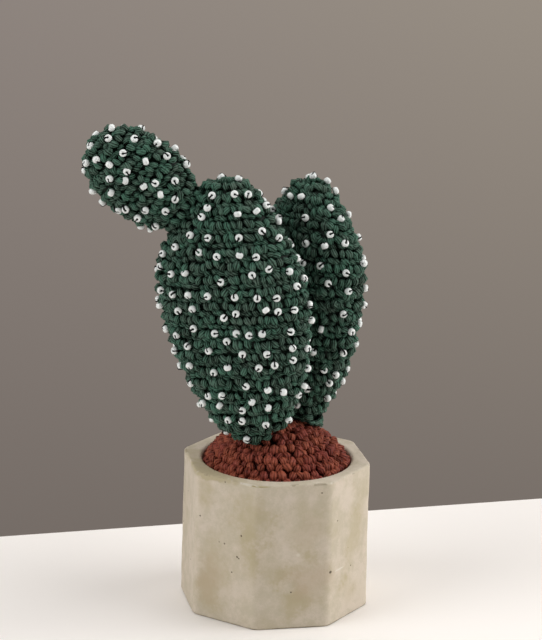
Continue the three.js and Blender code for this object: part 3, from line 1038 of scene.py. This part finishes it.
def sew_beads(name, spacing, seed, keep_clear):
    """The beads and the threads of a pad, as two pieces."""
    skin = skins[name]
    rng = np.random.default_rng(seed)
    places = bead_places(skin, spacing, rng)
    points, outs = skin.at(places[:, 0], places[:, 1])
    rotations, centres = [], []
    for point, out in zip(points, outs):
        flat = rng.random() < FLAT_SHARE
        tilt = abs(rng.normal(0, FLAT_TILT)) if flat else math.pi / 2 - abs(rng.normal(0, EDGE_TILT))
        heading, pull = rng.uniform(0, math.tau, 2)
        rise = (FLAT_RISE if flat else EDGE_RISE) + rng.normal(0, RISE_SPREAD) * MM
        centre = point + out * (YARN_HEIGHT + rise)
        if has_room(centre, keep_clear, centres):
            rotations.append(bead_turn(out, flat, tilt, heading, pull))
            centres.append(centre)
    rotations, centres = np.array(rotations), np.array(centres)
    tones = rng.uniform(0, 1, len(centres))
    beads = copies("beads" + name[3:], bead, rotations, centres, tones)
    rotations[:, :, 1] *= rng.uniform(*THREAD_WIDTHS, len(centres))[:, None]
    threads = copies("threads" + name[3:], thread, rotations, centres, tones)
    print(name, "carries", len(centres), "beads")
    return beads, threads


def copies(name, shape, rotations, centres, tones):
    """One mesh of turned and moved copies of a shape, each with a tone and a cell of the flat sheet."""
    places = points_of(shape)
    count = len(centres)
    moved = np.einsum("nij,pj->npi", rotations, places) + centres[:, None, :]
    faces = [tuple(face.vertices) for face in shape.data.polygons]
    corners = np.concatenate(faces)
    around = np.arctan2(places[:, 1], places[:, 0]) / math.tau % 1
    turns = np.concatenate([shares_round(face, around, np.zeros(len(places), bool)) for face in faces])
    beyond = np.hypot(places[:, 0], places[:, 1]) - (BEAD_RADIUS + BEAD_HOLE) / 2
    up = (np.arctan2(places[:, 2], beyond) / math.tau % 1)[corners]
    sheet = in_cells(count, np.stack([turns, up], axis=1))
    sizes = np.tile([len(face) for face in faces], count)
    every = corners_of_copies(corners, len(places), count)
    tone = np.repeat(tones, len(places))
    return piece_from(name, moved.reshape(-1, 3), sizes, every, {"OFBake": sheet}, tone)


sewn = {
    "pad_front": sew_beads("pad_front", 7.2 * MM, 31, ["pad_back", "pad_small"]),
    "pad_back": sew_beads("pad_back", 8.2 * MM, 32, ["pad_front"]),
    "pad_small": sew_beads("pad_small", 6.4 * MM, 33, ["pad_front"]),
}
for shape in (bead, thread):
    bpy.data.objects.remove(shape)

# %% [markdown]
# ## The pot
#
# The pot is cast in a mould with eight flat sides, so its corners are soft and its walls very slightly
# uneven. An eight-sided ring has its corners rounded by a bevel and its sides cut into short edges. It is
# then grown up the outside, over the rim and down the bore. On the way over the rim the To Sphere
# operator turns the eight sides into the bore's circle. Short, even faces all over are needed for the
# unevenness, which comes last.

# %% Cast the pot
POT_ACROSS_CORNERS = 70 * MM
POT_HEIGHT = 55.1 * MM
POT_FLOOR = 8 * MM
CORNER_CUT = 1.7 * MM
EDGE_ROUND = 0.5 * MM
BASE_ROUND = 0.6 * MM
BASE_WIDER = 1.014
BORE_EDGE = 1.2 * MM
SIDE_CUTS = 34
WALL_ROWS = 76
RIM_RINGS = 7
BORE_ROWS = 20
OUTER_TURNS = [math.radians(turn) for turn in (30, 60, 90)]
BORE_TURNS = [math.radians(turn) for turn in (22.5, 45, 67.5, 90)]


def start_pot():
    """The ring that the pot is grown from: eight sides with rounded corners, cut into short edges."""
    start_clean()
    bpy.ops.mesh.primitive_circle_add(vertices=8, radius=POT_ACROSS_CORNERS / 2)
    pot = bpy.context.object
    pot.name = "pot_concrete"
    bpy.ops.object.mode_set(mode="EDIT")
    bpy.ops.mesh.select_all(action="SELECT")
    bpy.ops.transform.rotate(value=math.pi / 8, orient_axis="Z", center_override=(0, 0, 0))
    bpy.ops.mesh.bevel(offset=CORNER_CUT, segments=4, affect="VERTICES")
    bpy.ops.mesh.select_all(action="DESELECT")
    bpy.ops.object.mode_set(mode="OBJECT")
    long_edges = 0
    for edge in pot.data.edges:
        a, b = [pot.data.vertices[i].co for i in edge.vertices]
        edge.select = (a - b).length > 4 * CORNER_CUT
        long_edges += edge.select
    bpy.ops.object.mode_set(mode="EDIT")
    bpy.ops.mesh.select_mode(type="EDGE")
    bpy.ops.mesh.subdivide(number_cuts=SIDE_CUTS)
    bpy.ops.mesh.select_mode(type="VERT")
    bpy.ops.mesh.select_all(action="SELECT")
    print("pot ring: sides cut", long_edges)
    return pot


def shrink(factor):
    """Resize the selected ring about the pot's axis."""
    bpy.ops.transform.resize(value=(factor, factor, 1), center_override=(0, 0, 0))


def grow_along(profile):
    """Grow the selected ring along sizes and heights. The first of them is where it already is."""
    grow_sections([(0, 0, height) for _, height in profile], [(size, size) for size, _ in profile])


def outer_profile():
    """Sizes, as factors, and heights: the rounded foot, the slightly tapered wall and the top edge."""
    reach = POT_ACROSS_CORNERS / 2
    profile = [(BASE_WIDER - BASE_ROUND / reach, 0)]
    for turn in OUTER_TURNS:
        size = BASE_WIDER - BASE_ROUND * (1 - math.sin(turn)) / reach
        profile.append((size, BASE_ROUND * (1 - math.cos(turn))))
    for k in range(1, WALL_ROWS + 1):
        height = BASE_ROUND + (POT_HEIGHT - BASE_ROUND - EDGE_ROUND) * k / WALL_ROWS
        profile.append((BASE_WIDER + (1 - BASE_WIDER) * k / WALL_ROWS, height))
    for turn in OUTER_TURNS:
        size = 1 - EDGE_ROUND * (1 - math.cos(turn)) / reach
        profile.append((size, POT_HEIGHT - EDGE_ROUND * (1 - math.sin(turn))))
    return profile


def inner_profile():
    """Radii and heights from the rim down: the bore's rounded edge, its wall and its floor."""
    profile = [(BORE_RADIUS + BORE_EDGE, POT_HEIGHT)]
    for turn in BORE_TURNS:
        height = POT_HEIGHT - BORE_EDGE * (1 - math.cos(turn))
        profile.append((BORE_RADIUS + BORE_EDGE * (1 - math.sin(turn)), height))
    depth = POT_HEIGHT - BORE_EDGE - POT_FLOOR
    profile += [(BORE_RADIUS, POT_FLOOR + depth * (1 - k / BORE_ROWS)) for k in range(1, BORE_ROWS + 1)]
    return profile + [(share * BORE_RADIUS, POT_FLOOR) for share in (0.75, 0.5, 0.25)]


def ring_reach(piece):
    """The mean distance of the selected ring from the pot's axis."""
    bpy.ops.object.mode_set(mode="OBJECT")
    chosen = [Vector(point.co[:2]).length for point in piece.data.vertices if point.select]
    bpy.ops.object.mode_set(mode="EDIT")
    return sum(chosen) / len(chosen)


def grow_rim(pot):
    """Grow the ring inwards over the flat rim, and turn it into the bore's circle on the way."""
    start = ring_reach(pot)
    for k in range(1, RIM_RINGS + 1):
        grow_ring((0, 0, 0))
        bpy.ops.transform.tosphere(value=1 / (RIM_RINGS - k + 1))
        wanted = start + (BORE_RADIUS + BORE_EDGE - start) * k / RIM_RINGS
        shrink(wanted / ring_reach(pot))


def cast_pot():
    """The pot as one closed shell, with its underside at the origin."""
    pot = start_pot()
    outside = outer_profile()
    shrink(outside[0][0])
    grow_along(outside)
    grow_rim(pot)
    grow_along(inner_profile())
    bpy.ops.mesh.edge_face_add()
    select_points(pot, lambda place: place.z < SAME_PLACE)
    grow_along([(1, 0), (0.8, 0), (0.6, 0), (0.3, 0)])
    bpy.ops.mesh.edge_face_add()
    return finish_piece(pot)


pot = cast_pot()
print("pot:", len(pot.data.polygons), "faces")

# %% [markdown]
# The mould leaves the walls a little wavy. Soft clouds push the outer wall in and out by up to a third of
# a millimetre, and fade away towards the foot, so that the pot stands flat.

# %% Make the walls uneven
UNEVEN = 0.7 * MM
UNEVEN_SIZE = 14 * MM
UNEVEN_FROM = 4 * MM


def make_uneven(piece):
    """Push the outer wall in and out by soft clouds, but leave the seat and the bore as they are."""
    walls = piece.vertex_groups.new(name="walls")
    for point in piece.data.vertices:
        outer = Vector(point.co[:2]).length > BORE_RADIUS + 2 * BORE_EDGE
        walls.add([point.index], min(1, point.co.z / UNEVEN_FROM) if outer else 0, "REPLACE")
    clouds = bpy.data.textures.new("casting_clouds", type="CLOUDS")
    clouds.noise_scale = UNEVEN_SIZE
    push = piece.modifiers.new("uneven", "DISPLACE")
    push.texture = clouds
    push.texture_coords = "LOCAL"
    push.vertex_group = walls.name
    push.strength = UNEVEN
    push.mid_level = 0.5
    start_clean()
    bpy.context.view_layer.objects.active = piece
    piece.select_set(True)
    bpy.ops.object.modifier_apply(modifier=push.name)


make_uneven(pot)
print("pot", [round(size / MM, 1) for size in pot.dimensions], len(pot.data.polygons), "faces")

# %% [markdown]
# ## Materials
#
# A material is a small calculation that runs at every point of a surface. Here it is written as ordinary
# sums. The class Number wraps one number of that calculation, so that a sum in Python adds the Math node
# that does it.

# %% Write shader maths as Python
class Number:
    """One number in a finish, with Python's own arithmetic."""

    def __init__(self, finish, socket):
        self.finish = finish
        self.socket = socket

    def maths(self, operation, *values):
        return self.finish.node("ShaderNodeMath", {"operation": operation}, dict(enumerate(values)))

    def __add__(self, other):
        return self.maths("ADD", self, other)

    def __sub__(self, other):
        return self.maths("SUBTRACT", self, other)

    def __rsub__(self, other):
        return self.maths("SUBTRACT", other, self)

    def __mul__(self, other):
        return self.maths("MULTIPLY", self, other)

    def __truediv__(self, other):
        return self.maths("DIVIDE", self, other)

    __radd__ = __add__
    __rmul__ = __mul__

    def sine(self):
        return self.maths("SINE", self)

    def size(self):
        return self.maths("ABSOLUTE", self)

    def between(self, low, high):
        """0 below low, 1 above high and a smooth step between them."""
        settings = {"interpolation_type": "SMOOTHSTEP"}
        values = {"Value": self, "From Min": low, "From Max": high}
        return self.finish.node("ShaderNodeMapRange", settings, values)


class Finish:
    """A material with a Principled shader, and the one method that adds any other node."""

    def __init__(self, name, **constants):
        self.material = bpy.data.materials.new(name)
        self.material.use_nodes = True
        self.nodes = self.material.node_tree.nodes
        self.shader = self.nodes["Principled BSDF"]
        self.feed(self.shader, {key.replace("_", " "): value for key, value in constants.items()})

    def feed(self, node, values):
        """Set a node's sockets from values, or link them from numbers, colours and vectors."""
        for key, value in values.items():
            if isinstance(value, Number):
                value = value.socket
            if isinstance(value, bpy.types.NodeSocket):
                self.material.node_tree.links.new(value, node.inputs[key])
            else:
                node.inputs[key].default_value = value

    def node(self, kind, settings, values, output=0):
        """Add a node: its settings first, then its sockets. The result is its output, ready for sums."""
        node = self.nodes.new(kind)
        for key, value in settings.items():
            setattr(node, key, value)
        self.feed(node, values)
        return Number(self, node.outputs[output])

    def mix(self, share, first, second):
        """A colour between two colours, which may be given as triples."""
        first, second = [(*colour, 1) if isinstance(colour, tuple) else colour for colour in (first, second)]
        return self.node("ShaderNodeMix", {"data_type": "RGBA"}, {0: share, 6: first, 7: second}, 2)

    def tone(self):
        """The random tone of each leg or bead, from 0 to 1."""
        return self.node("ShaderNodeAttribute", {"attribute_name": "tone"}, {}, "Fac")

    def parts(self, vector):
        """The three numbers that a vector is made of."""
        apart = self.node("ShaderNodeSeparateXYZ", {}, {"Vector": vector})
        return [Number(self, socket) for socket in apart.socket.node.outputs]

    def noise(self, scale, detail=3, roughness=0.5, vector=None):
        """Soft noise from 0 to 1, on the object's own coordinates unless others are given."""
        values = {"Scale": scale, "Detail": detail, "Roughness": roughness}
        values["Vector"] = vector or self.place()
        return self.node("ShaderNodeTexNoise", {}, values)

    def place(self):
        return self.node("ShaderNodeTexCoord", {}, {}, "Object")

    def bump(self, height, distance, strength=1.0):
        """Raise the surface by a height, in metres at height 1."""
        values = {"Height": height, "Distance": distance, "Strength": strength}
        self.feed(self.shader, {"Normal": self.node("ShaderNodeBump", {}, values)})


def report(finish):
    """Print what a finish has taken, and give its material."""
    print(finish.material.name, "is mixed from", len(finish.nodes), "nodes")
    return finish.material


# %% [markdown]
# ### Yarn
#
# Mercerised cotton has a soft gleam along its fibres. On the leg's UV map, x runs along the yarn and y
# round it. Eight fine grooves, where the threads of the plies lie side by side, run along the yarn, and
# noise stretched along x gives the fibres. The noise also pushes the grooves a little to and fro. The
# grooves are painted darker than the crests, as shade in the creases between the plies. Each leg's tone
# makes it a little lighter or darker and more or less faded, and its colour is painted darker where it
# dives in, as shade between the legs.
# The lining has a finish of its own, which is nearly black and has no gleam: its colour is painted shade
# between the legs.

# %% Mix the yarn
THREAD_GROOVES = 8
# How strongly the fibre streaks and the painted shade in the ply grooves show, for each yarn.
GROOVE_SHADE_AND_STREAK_GREEN = 0.85
GROOVE_SHADE_AND_STREAK_BROWN = 0.55
YARN_RELIEF = 0.25 * MM


def yarn_finish(name, light, faded, dark, groove_shade_and_streak, gleam_tint):
    yarn = Finish(
        name, Roughness=0.5, Sheen_Weight=0.04, Sheen_Roughness=0.4, Sheen_Tint=(*gleam_tint, 1),
        Specular_IOR_Level=0.12,
    )
    along, around, _ = yarn.parts(yarn.node("ShaderNodeUVMap", {"uv_map": "Yarn"}, {}))
    tone = yarn.tone()
    strand = {"X": along * 1.6, "Y": around * 13 + along * 2, "Z": tone * 40}
    fibre = yarn.noise(1.0, detail=2, vector=yarn.node("ShaderNodeCombineXYZ", {}, strand))
    thread = (around * (math.pi * THREAD_GROOVES) + fibre * 2).sine().size()
    cloud = yarn.noise(70, detail=2)
    patch = yarn.noise(420, detail=2)
    # The fibre noise is the yarn's own colour; the ply grooves are painted darker than the crests, as shade
    # in the creases.
    fibres_and_groove_shade = (fibre - 0.5) * 2.4 + thread * 1.3 - 0.83
    # Painted shade: the leg's colour darkens towards its ends, where it dives into the fabric between the
    # legs.
    dive_shade = (along - 0.5).size().between(0.15, 0.55)
    clouds = (tone - 0.5) * 0.4 + (cloud - 0.5) * 0.7 + (patch - 0.5) * 1.2
    shade = clouds + fibres_and_groove_shade * groove_shade_and_streak - dive_shade * 1.2 + 0.64
    fresh = (yarn.noise(190, detail=1) * 1.6 + tone * 0.4 - 0.42).between(0, 1)
    colour = yarn.mix(shade.between(-0.1, 1.1), dark, yarn.mix(fresh, faded, light))
    yarn.feed(yarn.shader, {"Base Color": colour, "Roughness": 0.6 - 0.2 * thread})
    yarn.bump(thread * 0.8 + fibre * 0.6, YARN_RELIEF)
    return report(yarn)


# The lining's near-black colour is painted shade, the darkness between the legs.
def shade_lining_finish(name, light, dark):
    lining = Finish(name, Roughness=1.0, Specular_IOR_Level=0.0)
    lining.feed(lining.shader, {"Base Color": lining.mix(lining.noise(600), dark, light)})
    return report(lining)


green = yarn_finish(
    "green_cotton", light=(0.071, 0.171, 0.121), faded=(0.098, 0.150, 0.118), dark=(0.002, 0.010, 0.005),
    groove_shade_and_streak=GROOVE_SHADE_AND_STREAK_GREEN, gleam_tint=(0.6, 0.8, 0.7),
)
brown = yarn_finish(
    "brown_cotton", light=(0.318, 0.084, 0.046), faded=(0.262, 0.056, 0.043), dark=(0.058, 0.005, 0.002),
    groove_shade_and_streak=GROOVE_SHADE_AND_STREAK_BROWN, gleam_tint=(0.9, 0.6, 0.5),
)
# Both linings are nearly black: painted shade between the legs.
green_lining_shade = shade_lining_finish("green_lining_shade", (0.002, 0.005, 0.003), (0.001, 0.002, 0.001))
brown_lining_shade = shade_lining_finish("brown_lining_shade", (0.02, 0.003, 0.002), (0.008, 0.001, 0.001))

# %% [markdown]
# ### Glass and thread
#
# The beads are opaque white glass with a hard gloss. The thread is dark and matt.

# %% Mix the glass and the thread
def bead_finish():
    glass = Finish("white_glass", Roughness=0.18, Coat_Weight=0.3, Coat_Roughness=0.08, IOR=1.5)
    cloud = glass.noise(900, detail=1)
    white = glass.mix(glass.tone() * 0.7 + cloud * 0.3, (0.69, 0.73, 0.72), (0.88, 0.915, 0.905))
    glass.feed(glass.shader, {"Base Color": white, "Roughness": 0.14 + cloud * 0.1})
    return report(glass)


def thread_finish():
    thread = Finish("dark_thread", Roughness=0.8, Specular_IOR_Level=0.1)
    fibre = thread.noise(4000, detail=2)
    colour = thread.mix(fibre, (0.003, 0.004, 0.004), (0.012, 0.014, 0.013))
    thread.feed(thread.shader, {"Base Color": colour})
    thread.bump(fibre, 0.05 * MM)
    return report(thread)


white_glass, dark_thread = bead_finish(), thread_finish()

# %% [markdown]
# ### Concrete
#
# Cast concrete is grey-beige, with a fine grain and soft clouds. Darker khaki stains show where the mould
# held water, and a few of them are warmer, as if by rust. One broad, faint stain on the front-left side is
# painted shade instead, which darkens that side to match the front. Each stain is a stretched ball round a
# place on the wall, and noise frays its edge. Its entry gives its middle, its reach across and up, and its
# strength. A few pin-holes, one chipped pit with a pale scratch beside it, and a thin khaki line on the
# rim's edge are marked the same way, at their own places. The other pin-holes are the middles of the
# cells of a Voronoi pattern. All pin-holes and the pit are painted dark, as the shade inside them. All
# along the outer edge of the rim, noise sets pale flakes and thin lines of dirt, and a dark line along the
# foot is painted contact shadow.

# %% Mix the concrete
STAINS = (
    ((-29.6, -16.1, 47.4), (3, 6), 0.6), ((-15.9, -29.8, 41.7), (6.5, 8), 0.68),
    ((5.7, -32.3, 39.2), (8.5, 9), 0.56), ((7.4, -32.3, 17.5), (9.5, 8), 0.62),
    ((-0.6, -32.3, 9.5), (5, 5), 0.55), ((-26.9, -18.8, 16.5), (7, 11), 0.5),
    ((-28.6, -17.2, 10.5), (4, 7), 0.45), ((-8.3, -32.3, 24.6), (6, 7), 0.45),
    ((25.4, -20.4, 31), (5, 11), 0.65), ((-8, -32.3, 2), (8, 3), 0.4), ((-15.6, -30.1, 27), (3.5, 9), 0.4),
    # The broad, faint stain at (-21, -25, 27) is painted shade that darkens the front-left side.
    ((-21, -25, 27), (10, 22), 0.22), ((-33, 8, 35), (8, 10), 0.38), ((18, 28, 24), (9, 12), 0.6),
    ((-8, 32, 38), (11, 8), 0.52), ((33, 2, 15), (8, 8), 0.52), ((-25, 22, 12), (9, 7), 0.6),
    ((-27.5, -11, 55.1), (9, 1.5), 1.0), ((-22, -21, 55.1), (8, 1.5), 0.8), ((-30, 4, 55.1), (6, 1.5), 0.6),
    ((28.5, -16.5, 44), (4, 5), 0.5), ((22.5, -23.5, 12), (4, 7), 0.4),
)
RUST = (
    ((-28.2, -17.6, 15), (5, 9), 0.6), ((7.4, -32.3, 18.5), (7, 5), 0.8), ((5.5, -32.3, 37), (4, 5), 0.6),
    ((24, 20, 30), (7, 8), 0.6),
)
STAIN_SPREAD = 1.3
PITS = (
    ((14.1, -31.6, 20.8), 0.75), ((10.1, -32.3, 51.6), 0.35), ((-0.1, -32.3, 46.4), 0.35),
    ((3.5, -32.3, 23.2), 0.4), ((-20.8, -25, 20.1), 0.4), ((-4, 32.3, 30), 0.5), ((-32.3, 3, 42), 0.4),
    ((32.3, -5, 40), 0.45),
)
SCRATCH = ((18.2, -27.5, 20.2), (3.9, 0.45))
KNOCK = ((1.9, -32.3, 28.3), (1.3, 1.0))
RIM_LINE = ((-13, -31.5, 54.8), (6, 0.3))
PALE, GREY = (0.622, 0.546, 0.454), (0.517, 0.460, 0.352)
KHAKI, RUSTY = (0.455, 0.392, 0.258), (0.470, 0.378, 0.266)
CHIPPED = (0.72, 0.68, 0.60)
# The second colour here is for dirt on the rim's edge and for the contact shadow painted along the foot.
LINED, DIRT_AND_FOOT_SHADE = (0.28, 0.23, 0.08), (0.24, 0.20, 0.13)
# The next colour is the shade painted inside the pin-holes.
PAINTED_HOLE_SHADE = (0.085, 0.065, 0.045)


def apart_from(cast, middle, sizes):
    """How far a place is from a middle, where 1 is the edge of a ball stretched to sizes across and up."""
    across, up = sizes
    values = {0: cast.place(), 1: Vector(middle) * MM}
    apart = cast.node("ShaderNodeVectorMath", {"operation": "SUBTRACT"}, values)
    values = {0: apart, 1: (1 / (across * MM), 1 / (across * MM), 1 / (up * MM))}
    apart = cast.node("ShaderNodeVectorMath", {"operation": "MULTIPLY"}, values)
    return cast.node("ShaderNodeVectorMath", {"operation": "LENGTH"}, {0: apart}, "Value")


def with_stains(cast, total, stains, fray):
    """A number to which each stain adds its strength, inside an edge frayed by noise."""
    for middle, sizes, strength in stains:
        edge = apart_from(cast, middle, sizes) / STAIN_SPREAD + fray * 2.4
        total = (1 - edge.between(0.3, 1.5)) * strength + total
    return total


def pot_edges(cast):
    """Two numbers: 1 on the rim's outer edge, found by the wall's four pairs of sides, and 1 where shadow is
    painted at the foot.
    """
    across, deep, high = cast.parts(cast.place())
    reach = across.size()
    for turn in (45, 90, 135):
        angle = math.radians(turn)
        reach = reach.maths("MAXIMUM", reach, (across * math.cos(angle) + deep * math.sin(angle)).size())
    flat = POT_ACROSS_CORNERS / 2 * math.cos(math.pi / 8)
    near_rim = high.between(POT_HEIGHT - 1.0 * MM, POT_HEIGHT - 0.3 * MM)
    return reach.between(flat - 1.3 * MM, flat - 0.2 * MM) * near_rim, 1 - high.between(0.2 * MM, 0.8 * MM)


def concrete_finish():
    cast = Finish("cast_concrete", Roughness=0.85, Specular_IOR_Level=0.3)
    cloud = cast.noise(48, detail=5, roughness=0.65)
    grain = cast.noise(1500, detail=3, roughness=0.75)
    mottle = cast.noise(190, detail=4, roughness=0.7)
    fray = cast.noise(130, detail=4, roughness=0.6) - 0.5
    shade = cloud.between(0.33, 0.67) * 0.6 + (mottle - 0.5) * 1.6 + (grain - 0.5) * 1.0 + 0.2
    stain = with_stains(cast, cloud.between(0.54, 0.70) * 0.3, STAINS, fray)
    tint = cast.mix(with_stains(cast, 0, RUST, fray).between(0, 1), KHAKI, RUSTY)
    colour = cast.mix(stain.between(0, 1.25), cast.mix(shade.between(0, 1), GREY, PALE), tint)

    scratch = 1 - apart_from(cast, *SCRATCH).between(0.6, 1.0)
    knock = 1 - (apart_from(cast, *KNOCK) + fray * 2).between(0.5, 1.0)
    rim_line = 1 - apart_from(cast, *RIM_LINE).between(0.5, 1.0)
    near_edge, foot_shade_band = pot_edges(cast)
    colour = cast.mix((scratch * 0.55 + knock * 0.45).between(0, 1), colour, CHIPPED)
    colour = cast.mix(rim_line * 0.7, colour, LINED)
    colour = cast.mix(near_edge * fray.between(0.06, 0.12) * 0.6, colour, CHIPPED)
    # Dirt along the rim's outer edge, and a dark line along the foot that is painted contact shadow.
    dirt_and_foot_shade = near_edge * (1 - fray.between(-0.10, -0.05)) * 0.55 + foot_shade_band * (fray * 2 + 0.6).between(0, 1)
    colour = cast.mix(dirt_and_foot_shade.between(0, 1), colour, DIRT_AND_FOOT_SHADE)

    cells = {"Vector": cast.place(), "Scale": 230, "Randomness": 1}
    cell = cast.node("ShaderNodeTexVoronoi", {}, cells, "Distance")
    hole = (1 - cell.between(0.05, 0.10)) * cast.noise(70, detail=1).between(0.6, 0.62)
    for middle, size in PITS:
        hole = hole + (1 - (apart_from(cast, middle, (size, size * 0.8)) + fray).between(0.6, 1.0))
    hole = hole.between(0, 1)
    # The pin-holes and the pit are painted dark, as the shade inside them.
    colour = cast.mix(hole * 0.85, colour, PAINTED_HOLE_SHADE)
    cast.feed(cast.shader, {"Base Color": colour, "Roughness": 0.78 + grain * 0.2})
    cast.bump(grain * 0.5 + mottle * 0.8 + cloud * 1.5 - hole * 3.0 + scratch * 0.5, 0.12 * MM, 0.8)
    return report(cast)


concrete = concrete_finish()

# %% [markdown]
# ## Putting it together
#
# Every piece gets its material and is told which part of the frame it stands for. Nothing on this object
# moves, so everything rides on the one body, root.

# %% Give out materials and tie the pieces to the frame
def dress(piece, materials, nodes=()):
    piece.data.materials.clear()
    for material in materials:
        piece.data.materials.append(material)
    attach(piece, "root")
    if nodes:
        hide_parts(*nodes)
    print(piece.name, "is dressed in", ", ".join(material.name for material in materials))


start_clean()
for name, pad in pads.items():
    dress(pad, [green, green_lining_shade], [name])
    beads, threads = sewn[name]
    dress(beads, [white_glass])
    dress(threads, [dark_thread])
dress(soil, [brown, brown_lining_shade], ["soil"])
dress(pot, [concrete], ["pot"])

# %% [markdown]
# ## The table, the wall and the light
#
# The cactus stands on a white table in front of a plain taupe wall. The table's back edge runs close
# behind the pot, a little out of square with it. The wall is painted on the sky that surrounds the scene:
# it is lighter above, and there it turns warmer from left to right. Behind the camera the sky is dark, as
# a room is. The light is soft and comes from all sides: the strongest lamp is high on the right, like a
# window, and a weaker one on the left answers it. Smaller ones light the front, the right side and the
# top, from the front and from behind. Each entry gives a lamp's place, the point that it is aimed at, its
# width in metres, its power in watts and its colour.

# %% Set the stage
TABLE_BACK = 82.6 * MM
TABLE_TURN = math.radians(3.52)
TABLE_SIZE = (3.2, 2.4, 0.03)
TABLE_EDGE = 1.5 * MM
WALL_RISE = (-0.36, -0.16)
WALL_SPAN = (0.10, 0.28)
WALL_LOW, WALL_LEFT, WALL_RIGHT = (0.174, 0.148, 0.131), (0.272, 0.234, 0.212), (0.310, 0.270, 0.229)
ROOM_SPAN = (0.0, 0.6)
ROOM_DARK = (0.05, 0.048, 0.045)
LAMPS = {
    "window": ((1.0, -0.2, 0.85), PART_MIDDLE, 1.4, 12.7, (1.0, 0.98, 0.965)),
    "fill": ((-1.0, -0.25, 0.7), PART_MIDDLE, 1.0, 8.9, (1.0, 0.99, 0.985)),
    "front": ((0.8, -0.8, 0.5), PART_MIDDLE, 0.8, 1.2, (1.0, 0.985, 0.97)),
    "top": ((0.0, -0.3, 1.5), (0, 0, 50 * MM), 1.2, 2.6, (1.0, 0.99, 0.98)),
    "top_back": ((0.0, 0.5, 1.4), PART_MIDDLE, 1.0, 4.6, (1.0, 0.99, 0.98)),
    "side": ((1.2, -0.1, 0.3), PART_MIDDLE, 0.6, 2.5, (1.0, 0.98, 0.965)),
}


def set_table():
    """A white table top with softened edges, whose back edge passes behind the pot."""
    start_clean()
    width, depth, thick = TABLE_SIZE
    middle = (0, TABLE_BACK - depth / 2, -thick / 2)
    bpy.ops.mesh.primitive_cube_add(size=1, location=middle, scale=TABLE_SIZE)
    table = bpy.context.object
    table.name = "table"
    bpy.ops.object.transform_apply(location=True, rotation=True, scale=True)
    bpy.ops.object.mode_set(mode="EDIT")
    bpy.ops.mesh.select_all(action="SELECT")
    bpy.ops.mesh.bevel(offset=TABLE_EDGE, segments=3)
    bpy.ops.transform.rotate(value=-TABLE_TURN, orient_axis="Z", center_override=(0, 0, 0))
    bpy.ops.object.mode_set(mode="OBJECT")
    paint = Finish("white_table", Roughness=0.6)
    white = paint.mix(paint.noise(8, detail=2), (0.92, 0.89, 0.86), (0.95, 0.92, 0.89))
    paint.feed(paint.shader, {"Base Color": white})
    table.data.materials.append(report(paint))


def add_light(name, place, target, size, watts, colour):
    """A large soft lamp that points at the object and isn't itself seen."""
    aim = Vector(target) - Vector(place)
    bpy.ops.object.light_add(type="AREA", location=place, rotation=aim.to_track_quat("-Z", "Y").to_euler())
    lamp = bpy.context.object
    lamp.name = name
    lamp.data.shape = "DISK"
    lamp.data.size = size
    lamp.data.energy = watts
    lamp.data.color = colour
    lamp.visible_camera = False


def blend(tree, part, span, first, second):
    """A colour that turns from one into another, where one part of the view's direction crosses a span."""
    ramp = tree.nodes.new("ShaderNodeMapRange")
    ramp.inputs["From Min"].default_value, ramp.inputs["From Max"].default_value = span
    tree.links.new(part, ramp.inputs["Value"])
    mix = tree.nodes.new("ShaderNodeMix")
    mix.data_type = "RGBA"
    tree.links.new(ramp.outputs[0], mix.inputs[0])
    for socket, colour in ((mix.inputs[6], first), (mix.inputs[7], second)):
        if isinstance(colour, tuple):
            socket.default_value = (*colour, 1)
        else:
            tree.links.new(colour, socket)
    return mix.outputs[2]


def set_wall():
    """The wall as the world's background, in a room that is dark behind the camera."""
    world = bpy.data.worlds.new("wall")
    bpy.context.scene.world = world
    world.use_nodes = True
    tree = world.node_tree
    where = tree.nodes.new("ShaderNodeTexCoord")
    parts = tree.nodes.new("ShaderNodeSeparateXYZ")
    tree.links.new(where.outputs["Generated"], parts.inputs[0])
    across, ahead, up = parts.outputs
    upper = blend(tree, across, WALL_SPAN, WALL_LEFT, WALL_RIGHT)
    wall = blend(tree, up, WALL_RISE, WALL_LOW, upper)
    room = blend(tree, ahead, ROOM_SPAN, ROOM_DARK, wall)
    tree.links.new(room, tree.nodes["Background"].inputs["Color"])


set_table()
set_wall()
for name, lamp in LAMPS.items():
    add_light(name, *lamp)
print("stage set with", len(LAMPS), "lamps")
